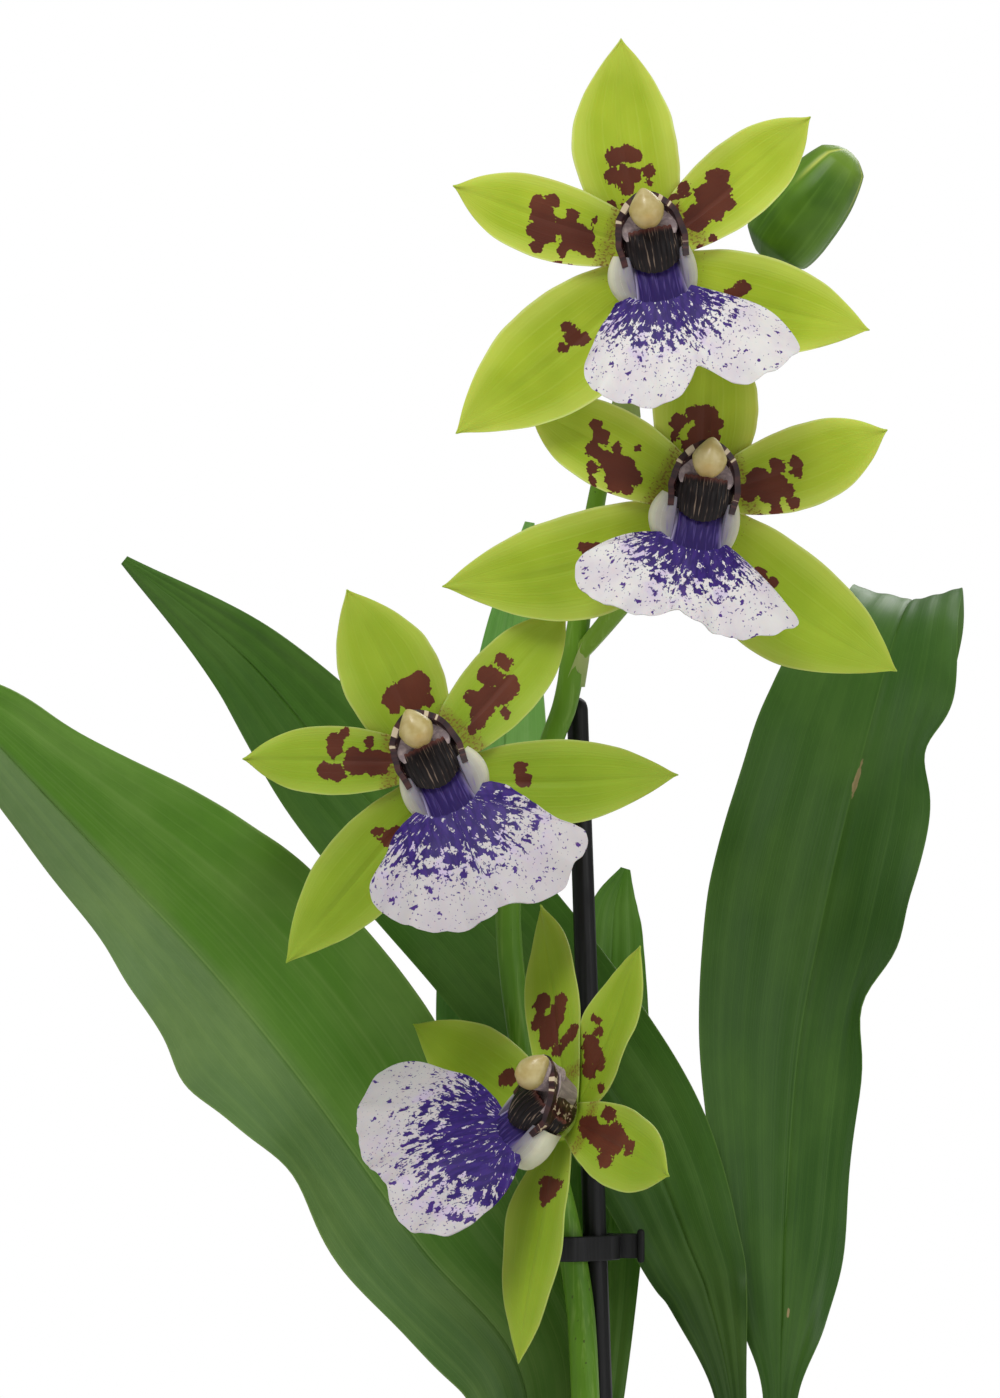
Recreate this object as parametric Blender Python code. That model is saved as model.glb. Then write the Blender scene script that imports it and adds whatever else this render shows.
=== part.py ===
"""A zygopetalum orchid standing in a round nursery pot filled with bark.

Metres, +Z up, the front faces -Y. The origin is the middle of the pot's underside.
The plant has two leafy growths, one flower stem with four open blooms and a bud,
and a stake with a clip that holds the stem. Lengths below are in millimetres.
"""
import math
import random

import bpy
import bmesh
from mathutils import Matrix, Vector

MM = 0.001
GAP = 0.3
SEED = 11

# Pot and bark
POT_HEIGHT = 108.0
POT_FOOT_RADIUS = 43.0
POT_TOP_RADIUS = 57.5
POT_RIM_RADIUS = 60.0
POT_RIM_HEIGHT = 12.0
POT_WALL = 1.5
POT_FLOOR = 2.5
POT_SIDES = 36
DRAIN_COUNT = 6
DRAIN_RADIUS = 4.0
DRAIN_CIRCLE = 30.0
BARK_TOP = 98.0
CHIP_COUNT = 26
CHIP_SIZE = (20.0, 12.0, 7.0)

# Bulbs: centre x, centre y, widest radius, height above the bark, neck radius
BULBS = {
    "bulb_left": (-17.0, 6.0, 10.5, 68.0, 8.5),
    "bulb_right": (23.0, 5.0, 12.5, 70.0, 8.5),
    "bulb_old": (4.0, 31.0, 10.5, 42.0, 3.0),
}
BULB_SINK = 6.0
BULB_FOOT_RADIUS = 7.0

# Leaves: each station is a point of the midrib and the widths to its left and right.
# turn swings the right edge back, fold lifts both edges, wave is (height, count, phase).
LEAF_THICK = 0.8
LEAF_ROWS = 17
LEAF_COLS = 10
LEAF_PLEAT = 0.26
LEAF_TIP = 0.9
LEAVES = {
    "leaf_front": dict(
        stations=[
            ((-18.5, 1.5, 166.9), 3.4, 3.4),
            ((-18.0, 3.5, 178.0), 5.0, 5.5),
            ((-19.8, 8.5, 209.3), 12.7, 14.6),
            ((-37.9, 9.0, 232.0), 15.6, 22.0),
            ((-58.6, 5.5, 260.9), 15.0, 25.5),
            ((-75.2, -1.5, 281.9), 14.0, 25.4),
            ((-90.4, -11.0, 298.7), 10.8, 22.0),
            ((-111.7, -28.0, 322.1), 5.8, 12.0),
            ((-124.6, -34.0, 336.3), LEAF_TIP, LEAF_TIP),
        ],
        turn=16.0, fold=0.16, wave=(1.6, 4.5, 0.4),
    ),
    "leaf_long": dict(
        stations=[
            ((19.0, 1.5, 168.9), 3.0, 3.0),
            ((19.2, 3.0, 186.0), 2.7, 2.7),
            ((18.3, 6.0, 204.7), 2.9, 2.9),
            ((14.8, 10.0, 220.8), 6.9, 6.9),
            ((11.3, 12.0, 230.5), 9.4, 9.4),
            ((0.2, 17.0, 254.9), 12.6, 12.6),
            ((-24.5, 23.0, 287.1), 14.2, 14.2),
            ((-50.4, 28.0, 315.2), 12.7, 12.7),
            ((-70.0, 30.0, 338.1), 7.7, 7.7),
            ((-92.4, 30.0, 356.3), LEAF_TIP, LEAF_TIP),
        ],
        turn=-6.0, fold=0.12, wave=(0.8, 3.5, 1.0),
    ),
    "leaf_rear": dict(
        stations=[
            ((-18.5, 10.5, 166.9), 3.4, 3.4),
            ((-18.0, 13.0, 178.0), 4.2, 4.2),
            ((-15.2, 22.0, 202.8), 5.6, 5.6),
            ((-19.7, 31.0, 226.0), 7.2, 7.2),
            ((-25.2, 37.0, 251.4), 8.3, 8.3),
            ((-26.5, 41.0, 275.2), 8.7, 8.7),
            ((-24.0, 43.0, 299.2), 8.7, 8.7),
            ((-22.5, 43.0, 322.3), 7.8, 7.8),
            ((-21.2, 42.0, 343.6), 4.8, 4.8),
            ((-17.9, 41.0, 363.5), LEAF_TIP, LEAF_TIP),
        ],
        turn=0.0, fold=0.12, wave=(0.5, 3.0, 0.0),
    ),
    "leaf_short": dict(
        stations=[
            ((-11.8, 6.4, 166.9), 2.6, 2.6),
            ((-11.0, 9.0, 178.0), 3.6, 3.6),
            ((-7.0, 15.5, 194.4), 4.5, 4.5),
            ((-4.1, 21.0, 217.6), 5.2, 5.2),
            ((-3.6, 27.0, 239.2), 6.9, 6.9),
            ((-3.6, 31.0, 266.4), 7.7, 7.7),
            ((-2.8, 33.0, 284.7), 5.9, 5.9),
            ((-2.2, 34.0, 293.0), 4.2, 4.2),
            ((-0.3, 34.0, 299.6), LEAF_TIP, LEAF_TIP),
        ],
        turn=0.0, fold=0.12, wave=(0.3, 3.0, 0.0),
    ),
    "leaf_arched": dict(
        stations=[
            ((26.5, 8.0, 168.9), 3.0, 3.0),
            ((26.8, 10.0, 187.0), 2.9, 2.9),
            ((27.4, 13.5, 204.3), 3.3, 3.3),
            ((27.9, 17.5, 217.2), 7.8, 7.8),
            ((28.7, 22.0, 235.1), 12.4, 12.6),
            ((31.2, 28.0, 266.0), 19.0, 14.6),
            ((35.9, 34.0, 290.1), 22.0, 15.8),
            ((40.3, 38.0, 308.5), 21.4, 15.4),
            ((44.4, 44.0, 323.2), 20.2, 14.0),
            ((48.3, 52.0, 336.2), 17.2, 13.4),
            ((52.2, 64.0, 346.6), 11.6, 10.5),
            ((55.2, 78.0, 349.0), 10.4, 9.1),
            ((57.9, 94.0, 341.0), 7.7, 7.3),
            ((60.5, 106.0, 328.0), LEAF_TIP, LEAF_TIP),
        ],
        turn=8.0, fold=0.14, wave=(1.3, 4.5, 2.2),
    ),
}

# Flower stem: points up its middle with the radius there
STEM_SIDES = 8
STEM = [
    ((-4.5, -12.0, 90.0), 2.7),
    ((-4.8, -12.0, 104.0), 2.7),
    ((-7.0, -9.0, 150.0), 2.6),
    ((-8.1, -3.0, 205.1), 2.55),
    ((-10.1, 0.0, 228.9), 2.5),
    ((-16.2, 0.0, 255.0), 2.4),
    ((-20.0, 0.0, 272.3), 2.35),
    ((-22.0, 0.0, 292.5), 2.3),
    ((-19.8, 0.0, 307.2), 2.2),
    ((-14.0, 0.0, 323.6), 2.1),
    ((-10.8, 0.0, 334.2), 2.2),
    ((-6.3, 0.0, 365.2), 1.65),
    ((-1.8, 0.0, 383.7), 1.45),
    ((2.6, -1.0, 397.2), 1.3),
    ((12.0, -6.0, 403.5), 1.15),
    ((23.4, -11.5, 408.5), 1.2),
]
STEM_STEPS = 28
OVARY_RADIUS = 2.1
PEDICEL_RADIUS = 1.5

# Blooms: middle, facing (yaw, pitch, roll in degrees), where the pedicel leaves the stem,
# then each sepal and petal as (turn from the top, length, width, lean forward, side bend).
BLOOMS = {
    "bloom_1": dict(
        middle=(3.4, -32.0, 409.9), facing=(0.0, 0.0, -11.0), root=(-0.8, -0.4, 386.5),
        sepals=[(2.5, 37.4, 18.4, 4.0, -2.2), (-122.0, 47.3, 20.4, -2.0, -1.6),
                (121.0, 40.9, 17.2, -2.0, 1.8)],
        petals=[(-61.4, 36.8, 14.0, 3.0, -0.6), (61.1, 36.2, 14.0, 3.0, 0.4)],
        lip=dict(pitch=35.0, left=0.98, right=1.12, notch=13.0, cut=5.5, swing=0.0),
    ),
    "bloom_2": dict(
        middle=(12.4, -24.0, 366.6), facing=(0.0, 0.0, 9.0), root=(-9.9, 0.0, 338.0),
        sepals=[(-7.0, 32.0, 18.6, 2.5, 0.0), (-118.0, 48.7, 18.8, -1.0, -3.8),
                (122.7, 46.4, 20.0, -2.0, 3.8)],
        petals=[(-71.4, 35.0, 14.6, 2.0, 0.0), (61.2, 34.7, 14.6, 3.0, 1.0)],
        lip=dict(pitch=35.0, left=1.0, right=1.02, notch=-6.0, cut=6.0, swing=0.0),
    ),
    "bloom_3": dict(
        middle=(-35.5, -20.0, 319.6), facing=(0.0, 0.0, -25.0), root=(-20.8, 0.0, 302.0),
        sepals=[(-1.2, 34.1, 17.6, 4.0, 0.3), (-119.0, 44.2, 15.6, -2.0, -0.8),
                (118.0, 43.9, 15.2, -2.0, 1.6)],
        petals=[(-64.0, 33.5, 12.2, 4.0, 0.0), (66.8, 35.9, 13.6, -3.0, 0.2)],
        lip=dict(pitch=35.0, left=1.08, right=1.12, notch=2.0, cut=2.0, swing=0.0),
    ),
    "bloom_4": dict(
        middle=(-11.4, -34.0, 257.1), facing=(-54.0, 18.0, 42.0), root=(-14.5, 0.0, 248.5),
        sepals=[(-20.0, 33.4, 15.5, 4.0, 0.5), (-115.0, 48.5, 17.0, 6.0, -1.0),
                (138.0, 44.0, 17.0, -2.0, 1.5)],
        petals=[(-68.0, 41.7, 14.0, 4.0, 0.0), (62.4, 40.5, 14.0, 4.0, 0.0)],
        lip=dict(pitch=50.0, left=1.24, right=1.04, notch=-8.0, cut=3.0, swing=-9.0),
    ),
}
TEPAL_THICK = 0.8
TEPAL_ROWS = 6
TEPAL_COLS = 4
TEPAL_PROFILE = [0.42, 0.66, 0.87, 0.98, 1.0, 0.9, 0.68, 0.36, 0.07]
CORE_RADIUS = 3.7
LATERAL_DROP = 3.6
CORE_BACK = -3.0
CORE_FRONT = 1.5

# Lip, in its bloom's own frame
LIP_THICK = 0.9
LIP_ROWS = 4
LIP_COLS = 12
LIP_HINGE = (0.0, -6.0, 7.0)
LIP_INNER = 4.0
LIP_SPREAD = 70.0
LIP_RIM = [8.5, 21.0, 24.6, 24.4, 23.8, 23.6, 23.4, 23.6, 23.8, 24.4, 24.6, 21.0, 8.5]
LIP_DROOP = 3.5
LIP_FRILL = 0.7
SIDE_LOBE = (1.4, 4.2, 2.3)

BUD_BASE = (24.0, -11.8, 408.9)
BUD_TIP = (38.9, -16.0, 428.2)
BUD_PROFILE = [0.30, 0.72, 0.93, 1.0, 0.95, 0.78, 0.48, 0.10]
BUD_RADIUS = 6.8

STAKE_FOOT = (1.0, -0.5, 14.0)
STAKE_TOP = (-9.5, 5.4, 331.0)
STAKE_FOOT_RADIUS = 2.6
STAKE_TOP_RADIUS = 1.9
STAKE_SIDES = 16
CLIP_HEIGHT = 4.5
CLIP_Z = 232.0
CLIP_WALL = 1.4
CLIP_END = 2.6


def clear_scene():
    for thing in list(bpy.data.objects):
        bpy.data.objects.remove(thing, do_unlink=True)


def make_material(name, colour, roughness):
    """A plain Principled material."""
    material = bpy.data.materials.new(name)
    material.use_nodes = True
    shader = material.node_tree.nodes["Principled BSDF"]
    shader.inputs["Base Color"].default_value = (*colour, 1.0)
    shader.inputs["Roughness"].default_value = roughness
    shader.inputs["Metallic"].default_value = 0.0
    return material


def smooth(values, u):
    """A smooth curve through equally spaced values, at u from 0 to 1."""
    last = len(values) - 1
    k = min(int(u * last), last - 1)
    t = u * last - k
    a, b = values[k], values[k + 1]
    before = values[k - 1] if k > 0 else a + (a - b)
    after = values[k + 2] if k + 2 <= last else b + (b - a)
    slope_a = (b - before) * 0.5
    slope_b = (after - a) * 0.5
    t2, t3 = t * t, t * t * t
    return (a * (2 * t3 - 3 * t2 + 1) + slope_a * (t3 - 2 * t2 + t)
            + b * (3 * t2 - 2 * t3) + slope_b * (t3 - t2))


def mesh_object(name, points, faces, material):
    """An object from points in millimetres and faces, its faces turned outward."""
    bm = bmesh.new()
    verts = [bm.verts.new(Vector(p) * MM) for p in points]
    for face in faces:
        bm.faces.new([verts[i] for i in face])
    bmesh.ops.recalc_face_normals(bm, faces=bm.faces)
    mesh = bpy.data.meshes.new(name)
    bm.to_mesh(mesh)
    bm.free()
    mesh.materials.append(material)
    thing = bpy.data.objects.new(name, mesh)
    bpy.context.scene.collection.objects.link(thing)
    return thing


def shade(thing, angle=50.0):
    thing.data.shade_smooth()
    thing.data.set_sharp_from_angle(angle=math.radians(angle))
    return thing


def applied(thing):
    """Apply the object's modifiers to its mesh."""
    graph = bpy.context.evaluated_depsgraph_get()
    mesh = bpy.data.meshes.new_from_object(thing.evaluated_get(graph))
    thing.modifiers.clear()
    thing.data = mesh
    return thing


def combine(body, others, operation="UNION", solver="EXACT"):
    """One Boolean of a body with a collection of others, which are then removed."""
    group = bpy.data.collections.new(body.name + "_group")
    for other in others:
        group.objects.link(other)
    boolean = body.modifiers.new("combine", "BOOLEAN")
    boolean.operation = operation
    boolean.operand_type = "COLLECTION"
    boolean.collection = group
    boolean.solver = solver
    applied(body)
    for other in others:
        bpy.data.objects.remove(other, do_unlink=True)
    bpy.data.collections.remove(group)
    return body


def blade(name, grid, thickness, material):
    """A thin closed solid round a grid of points, split alike on both faces."""
    rows, cols = len(grid), len(grid[0])
    front, back = [], []
    for i in range(rows):
        for j in range(cols):
            up = grid[min(i + 1, rows - 1)][j] - grid[max(i - 1, 0)][j]
            side = grid[i][min(j + 1, cols - 1)] - grid[i][max(j - 1, 0)]
            normal = side.cross(up).normalized()
            front.append(grid[i][j] + normal * (thickness / 2))
            back.append(grid[i][j] - normal * (thickness / 2))
    count = rows * cols
    faces = []
    for i in range(rows - 1):
        for j in range(cols - 1):
            a, b = i * cols + j, i * cols + j + 1
            c, d = b + cols, a + cols
            faces += [(a, b, c), (a, c, d)]
            faces += [(count + c, count + b, count + a), (count + d, count + c, count + a)]
    rim = [j for j in range(cols)]
    rim += [i * cols + cols - 1 for i in range(1, rows)]
    rim += [(rows - 1) * cols + j for j in range(cols - 2, -1, -1)]
    rim += [i * cols for i in range(rows - 2, 0, -1)]
    for k, a in enumerate(rim):
        b = rim[(k + 1) % len(rim)]
        faces += [(b, a, count + a), (b, count + a, count + b)]
    return mesh_object(name, front + back, faces, material)


def loft(name, rings, material):
    """A closed solid through rings of equal length, with flat ends."""
    size = len(rings[0])
    points = [p for ring in rings for p in ring]
    faces = [tuple(range(size - 1, -1, -1))]
    faces.append(tuple(range(len(points) - size, len(points))))
    for k in range(len(rings) - 1):
        for j in range(size):
            a, b = k * size + j, k * size + (j + 1) % size
            faces += [(a, b, b + size), (a, b + size, a + size)]
    return mesh_object(name, points, faces, material)


def side_axes(tangent):
    across = Vector((1, 0, 0)) - tangent * tangent.x
    if across.length < 0.2:
        across = Vector((0, 1, 0)) - tangent * tangent.y
    across.normalize()
    return across, tangent.cross(across)


def tube(name, centres, radii, sides, material):
    """A round tube along points in space."""
    rings = []
    for k, centre in enumerate(centres):
        ahead = centres[min(k + 1, len(centres) - 1)]
        behind = centres[max(k - 1, 0)]
        across, other = side_axes((ahead - behind).normalized())
        ring = []
        for j in range(sides):
            a = 2 * math.pi * j / sides
            ring.append(centre + (across * math.cos(a) + other * math.sin(a)) * radii[k])
        rings.append(ring)
    return loft(name, rings, material)


def ellipsoid(name, middle, axes, material, segments=10, rings=7):
    """An ellipsoid from its middle and three half-axis vectors."""
    bm = bmesh.new()
    bmesh.ops.create_uvsphere(bm, u_segments=segments, v_segments=rings, radius=1.0)
    bmesh.ops.triangulate(bm, faces=bm.faces)
    points = []
    for vert in bm.verts:
        points.append(middle + axes[0] * vert.co.x + axes[1] * vert.co.y + axes[2] * vert.co.z)
    faces = [tuple(v.index for v in face.verts) for face in bm.faces]
    bm.free()
    return mesh_object(name, points, faces, material)


def turned(name, profile, sides, material, centre=(0.0, 0.0)):
    """A solid of revolution from an outer profile of (radius, height), bottom to top."""
    rings = []
    for radius, height in profile:
        ring = []
        for j in range(sides):
            a = 2 * math.pi * j / sides
            ring.append(Vector((centre[0] + radius * math.cos(a),
                                centre[1] + radius * math.sin(a), height)))
        rings.append(ring)
    return loft(name, rings, material)


def pot_radius(height):
    """The pot's outer radius at a height."""
    t = height / POT_HEIGHT
    return POT_FOOT_RADIUS + (POT_TOP_RADIUS - POT_FOOT_RADIUS) * t


def make_pot(material):
    rim_low = POT_HEIGHT - POT_RIM_HEIGHT
    profile = [
        (POT_FOOT_RADIUS, 0.0), (pot_radius(rim_low), rim_low), (POT_RIM_RADIUS - 0.6, rim_low),
        (POT_RIM_RADIUS, POT_HEIGHT), (POT_RIM_RADIUS - 1.8, POT_HEIGHT + 0.6),
        (pot_radius(POT_HEIGHT) - POT_WALL, POT_HEIGHT),
        (pot_radius(POT_FLOOR) - POT_WALL, POT_FLOOR),
    ]
    pot = turned("pot", profile, POT_SIDES, material)
    drains = []
    for k in range(DRAIN_COUNT):
        a = 2 * math.pi * k / DRAIN_COUNT
        centre = (DRAIN_CIRCLE * math.cos(a), DRAIN_CIRCLE * math.sin(a))
        shape = [(DRAIN_RADIUS, -1.0), (DRAIN_RADIUS, POT_FLOOR + 1.0)]
        drains.append(turned("drain", shape, 12, material, centre))
    return combine(pot, drains, "DIFFERENCE")


def stake_point(z):
    """The stake's middle at a height."""
    foot, top = Vector(STAKE_FOOT), Vector(STAKE_TOP)
    return foot.lerp(top, (z - foot.z) / (top.z - foot.z))


def make_bark(material):
    """The bark mix: a filled cone of bark with chips on top and plain holes for what stands in it."""
    top_radius = pot_radius(BARK_TOP) - POT_WALL - GAP
    low_radius = pot_radius(POT_FLOOR) - POT_WALL - GAP
    bark = turned("bark", [(low_radius, POT_FLOOR + GAP), (top_radius, BARK_TOP)],
                  POT_SIDES, material)
    draw = random.Random(SEED)
    chips = []
    for k in range(CHIP_COUNT):
        reach = (top_radius - 11.0) * math.sqrt((k + 0.5) / CHIP_COUNT)
        angle = k * math.radians(137.5)
        place = Vector((reach * math.cos(angle), reach * math.sin(angle),
                        BARK_TOP + draw.uniform(-1.0, 1.0)))
        turn = Matrix.Rotation(draw.uniform(0, math.pi), 3, "Z")
        tilt = Matrix.Rotation(draw.uniform(-0.35, 0.35), 3, "X")
        size = [s * draw.uniform(0.75, 1.1) / 2 for s in CHIP_SIZE]
        ring = []
        for z, shrink in ((-1, 1.0), (1, 0.78)):
            corners = [(-1, -0.8), (0.1, -1), (1, -0.6), (0.85, 0.9), (-0.3, 1), (-0.95, 0.6)]
            ring.append([place + turn @ tilt @ Vector((x * size[0] * shrink, y * size[1] * shrink,
                                                       z * size[2])) for x, y in corners])
        chips.append(loft("chip", ring, material))
    combine(bark, chips, "UNION")
    return combine(bark, hole_cutters(material), "DIFFERENCE")


def hole_cutters(material):
    """Plain holes for the bulbs, the stem and the stake."""
    high = BARK_TOP + 20.0
    cutters = []
    for x, y, radius, height, neck in BULBS.values():
        floor = BARK_TOP - BULB_SINK
        shape = [(BULB_FOOT_RADIUS + GAP, floor - GAP), (BULB_FOOT_RADIUS + GAP, BARK_TOP - 3.0),
                 (radius + 1.0, BARK_TOP), (radius + 1.5, high)]
        cutters.append(turned("hole", shape, 20, material, (x, y)))
    foot = Vector(STEM[0][0])
    radius = STEM[0][1] + 3 * GAP
    cutters.append(tube("hole", [foot - Vector((0, 0, GAP)), Vector((-4.8, -12.0, 104.0)),
                                 Vector((-5.6, -11.2, high))], [radius, radius, radius + 0.8],
                        12, material))
    radius = STAKE_FOOT_RADIUS + GAP
    cutters.append(tube("hole", [stake_point(STAKE_FOOT[2] - 0.5), stake_point(high)],
                        [radius, radius], STAKE_SIDES, material))
    return cutters


def make_bulb(name, shape, material):
    """A ribbed ovoid bulb on a narrow foot, cut flat on top where its leaves stand."""
    x, y, radius, height, neck = shape
    sides = 18
    foot = BARK_TOP - BULB_SINK
    levels = [(BULB_FOOT_RADIUS, foot), (BULB_FOOT_RADIUS, BARK_TOP - 2.5)]
    for t in (0.12, 0.28, 0.45, 0.62, 0.8, 0.93):
        swell = math.sin(math.pi * (0.12 + 0.80 * t)) ** 0.7
        levels.append((max(radius * swell, neck * t), BARK_TOP + height * t))
    levels.append((neck, BARK_TOP + height))
    rings = []
    for k, (r, z) in enumerate(levels):
        rib = 0.05 if 1 < k < len(levels) - 2 else 0.0
        ring = []
        for j in range(sides):
            a = 2 * math.pi * j / sides
            rr = r * (1 + rib * math.cos(a * sides / 2))
            ring.append(Vector((x + rr * math.cos(a), y + rr * math.sin(a), z)))
        rings.append(ring)
    return shade(loft(name, rings, material))


def leaf_grid(spec, rows, cols):
    """Points of a pleated leaf, base to tip and left to right."""
    stations = spec["stations"]
    middles = [Vector(s[0]) for s in stations]
    left = [s[1] for s in stations]
    right = [s[2] for s in stations]
    turn = math.radians(spec["turn"])
    reference = Vector((math.cos(turn), math.sin(turn), 0))
    height, count, phase = spec["wave"]
    grid = []
    for i in range(rows + 1):
        s = i / rows
        centre = smooth(middles, s)
        tangent = (smooth(middles, min(s + 0.01, 1)) - smooth(middles, max(s - 0.01, 0))).normalized()
        across = (reference - tangent * reference.dot(tangent)).normalized()
        face = across.cross(tangent)
        widths = (smooth(left, s), smooth(right, s))
        line = []
        for j in range(cols + 1):
            v = 2 * j / cols - 1
            width = widths[1] if v > 0 else widths[0]
            full = min(1.0, width / 6.0)
            lift = spec["fold"] * abs(v) * width
            lift += LEAF_PLEAT * full * math.cos(5 * math.pi * v)
            side = 0.0 if v > 0 else 1.3
            lift += height * full * abs(v) ** 2.5 * math.sin(2 * math.pi * count * s + phase + side)
            line.append(centre + across * (v * width) + face * lift)
        grid.append(line)
    return grid


def bloom_axes(facing):
    """Right, up and forward of a bloom from its yaw, pitch and roll."""
    yaw, pitch, roll = (math.radians(a) for a in facing)
    ahead = Vector((math.sin(yaw) * math.cos(pitch), -math.cos(yaw) * math.cos(pitch),
                    math.sin(pitch)))
    level = Vector((math.cos(yaw), math.sin(yaw), 0.0))
    rise = level.cross(ahead) * -1.0
    if rise.z < 0:
        rise = -rise
    up = rise * math.cos(roll) + level * math.sin(roll)
    right = level * math.cos(roll) - rise * math.sin(roll)
    return right, up, ahead


def bloom_place(spec):
    """A function from a bloom's own (right, up, forward) to the part's frame."""
    right, up, ahead = bloom_axes(spec["facing"])
    middle = Vector(spec["middle"])
    return lambda r, u, n: middle + right * r + up * u + ahead * n


def tepal_grid(place, shape, start, rows, cols):
    """Points of one sepal or petal."""
    turn, length, width, lean, bend = shape
    c, s = math.cos(math.radians(turn)), math.sin(math.radians(turn))
    grid = []
    for i in range(rows + 1):
        t = i / rows
        reach = 0.8 + (length - 0.8) * t
        half = smooth(TEPAL_PROFILE, t) * width / 2
        sway = bend * math.sin(math.pi * t)
        drop = LATERAL_DROP * (1 - t) ** 2 if c < 0 else 0.0
        line = []
        for j in range(cols + 1):
            v = 2 * j / cols - 1
            x = v * half + sway
            n = start + lean * t ** 1.4 + 0.07 * v * v * width * math.sin(math.pi * min(t * 1.2, 1))
            line.append(place(reach * s + x * c, reach * c - x * s - drop, n))
        grid.append(line)
    return grid


def make_tepals(name, spec, material):
    """The three sepals and two petals of a bloom, joined at its core."""
    place = bloom_place(spec)
    core = []
    for n, radius in ((CORE_BACK, CORE_RADIUS - 1.2), (CORE_FRONT, CORE_RADIUS)):
        low = 1.0 + 0.5 * LATERAL_DROP / CORE_RADIUS
        core.append([place(radius * math.cos(a), radius * math.sin(a) * (low if k > 6 else 1), n)
                     for k, a in ((k, 2 * math.pi * k / 12) for k in range(12))])
    body = loft(name, core, material)
    blades = []
    for k, shape in enumerate(spec["sepals"]):
        grid = tepal_grid(place, shape, -0.9 - 0.05 * k, TEPAL_ROWS, TEPAL_COLS)
        blades.append(blade("sepal", grid, TEPAL_THICK, material))
    for k, shape in enumerate(spec["petals"]):
        grid = tepal_grid(place, shape, 0.35 + 0.05 * k, TEPAL_ROWS, TEPAL_COLS)
        blades.append(blade("petal", grid, TEPAL_THICK, material))
    return shade(combine(body, blades))


def lip_point(place, lip, angle, reach):
    """A point of the lip's blade at an angle from its middle, reach from 0 to 1."""
    pitch = math.radians(lip["pitch"])
    a = math.radians(angle + lip["swing"])
    u = (angle / LIP_SPREAD + 1) / 2
    side = lip["right"] if angle > 0 else lip["left"]
    rim = smooth(LIP_RIM, min(max(u, 0.0), 1.0)) * side
    rim -= lip["cut"] * math.exp(-((angle - lip["notch"]) / 9.0) ** 2)
    r = LIP_INNER + (rim - LIP_INNER) * reach
    frill = LIP_FRILL * reach ** 2 * math.sin(9 * a + 1.0)
    out = -LIP_DROOP * (r / 22.0) ** 2 + frill
    along = r * math.cos(a)
    hinge_r, hinge_u, hinge_n = LIP_HINGE
    return place(hinge_r + r * math.sin(a),
                 hinge_u - along * math.cos(pitch) + out * math.sin(pitch),
                 hinge_n + along * math.sin(pitch) + out * math.cos(pitch))


def make_lip(name, spec, material):
    """The lip: a fan-shaped blade on a thick neck with two side lobes."""
    place = bloom_place(spec)
    lip = spec["lip"]
    grid = []
    for i in range(LIP_ROWS + 1):
        grid.append([lip_point(place, lip, LIP_SPREAD * (2 * j / LIP_COLS - 1), i / LIP_ROWS)
                     for j in range(LIP_COLS + 1)])
    fan = blade("fan", grid, LIP_THICK, material)
    pitch = math.radians(lip["pitch"])
    end_u = LIP_HINGE[1] - 6.0 * math.cos(pitch) - 0.6 * math.sin(pitch)
    end_n = LIP_HINGE[2] + 6.0 * math.sin(pitch) - 0.6 * math.cos(pitch)
    neck = []
    for u, n, half, thick in ((-4.6, CORE_FRONT + GAP, 2.4, 0.7), (-7.8, 4.9, 4.3, 1.0),
                              (-8.9, 7.6, 4.5, 1.1), (end_u, end_n, 4.4, 0.9)):
        neck.append((u, n, half, thick))
    rings = []
    for k, (u, n, half, thick) in enumerate(neck):
        du = neck[min(k + 1, 3)][0] - neck[max(k - 1, 0)][0]
        dn = neck[min(k + 1, 3)][1] - neck[max(k - 1, 0)][1]
        size = math.hypot(du, dn)
        if k == 0:
            du, dn, size = 0.0, 1.0, 1.0
        ring = []
        for j in range(10):
            a = 2 * math.pi * j / 10
            off = thick * math.sin(a)
            ring.append(place(half * math.cos(a), u + off * dn / size, n - off * du / size))
        rings.append(ring)
    body = loft(name, rings, material)
    origin = place(0, 0, 0)
    lobes = []
    for side in (-1, 1):
        tilt = math.radians(13.0) * side
        wide = place(math.cos(tilt), -math.sin(tilt), 0) - origin
        tall = place(math.sin(tilt), math.cos(tilt), 0) - origin
        deep = place(0, 0, 1) - origin
        axes = (wide * SIDE_LOBE[0], deep * SIDE_LOBE[2], tall * SIDE_LOBE[1])
        lobes.append(ellipsoid("lobe", place(5.6 * side, -5.3, 6.0), axes, material, 8, 7))
    return shade(combine(body, [fan] + lobes))


def make_callus(name, spec, material):
    """The ridged collar under the column."""
    place = bloom_place(spec)
    rings = []
    steps = 13
    for n, size in ((3.3, 0.78), (5.5, 1.0), (8.0, 0.95), (9.3, 0.62)):
        ring = []
        for k in range(steps):
            a = math.pi * k / (steps - 1)
            ridge = 1.0 if k % 2 == 0 else 0.90
            ring.append(place(4.4 * size * ridge * math.cos(a),
                              -0.8 - 4.9 * size * ridge * math.sin(a) ** 0.8, n))
        rings.append(ring)
    return shade(loft(name, rings, material), 35.0)


def make_column(name, spec, material):
    """The column: an arched rod that widens into a hood over the collar."""
    place = bloom_place(spec)
    rings = []
    for n, u, half, tall in ((CORE_FRONT + GAP, 1.9, 3.0, 2.0), (5.0, 2.8, 4.0, 2.5),
                             (8.5, 4.1, 5.6, 3.1), (12.0, 4.6, 5.2, 3.5)):
        ring = []
        for j in range(12):
            a = 2 * math.pi * j / 12
            drop = 0.45 if math.sin(a) < -0.6 else 0.0
            ring.append(place(half * math.cos(a), u + tall * math.sin(a) + drop, n))
        rings.append(ring)
    return shade(loft(name, rings, material))


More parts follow.
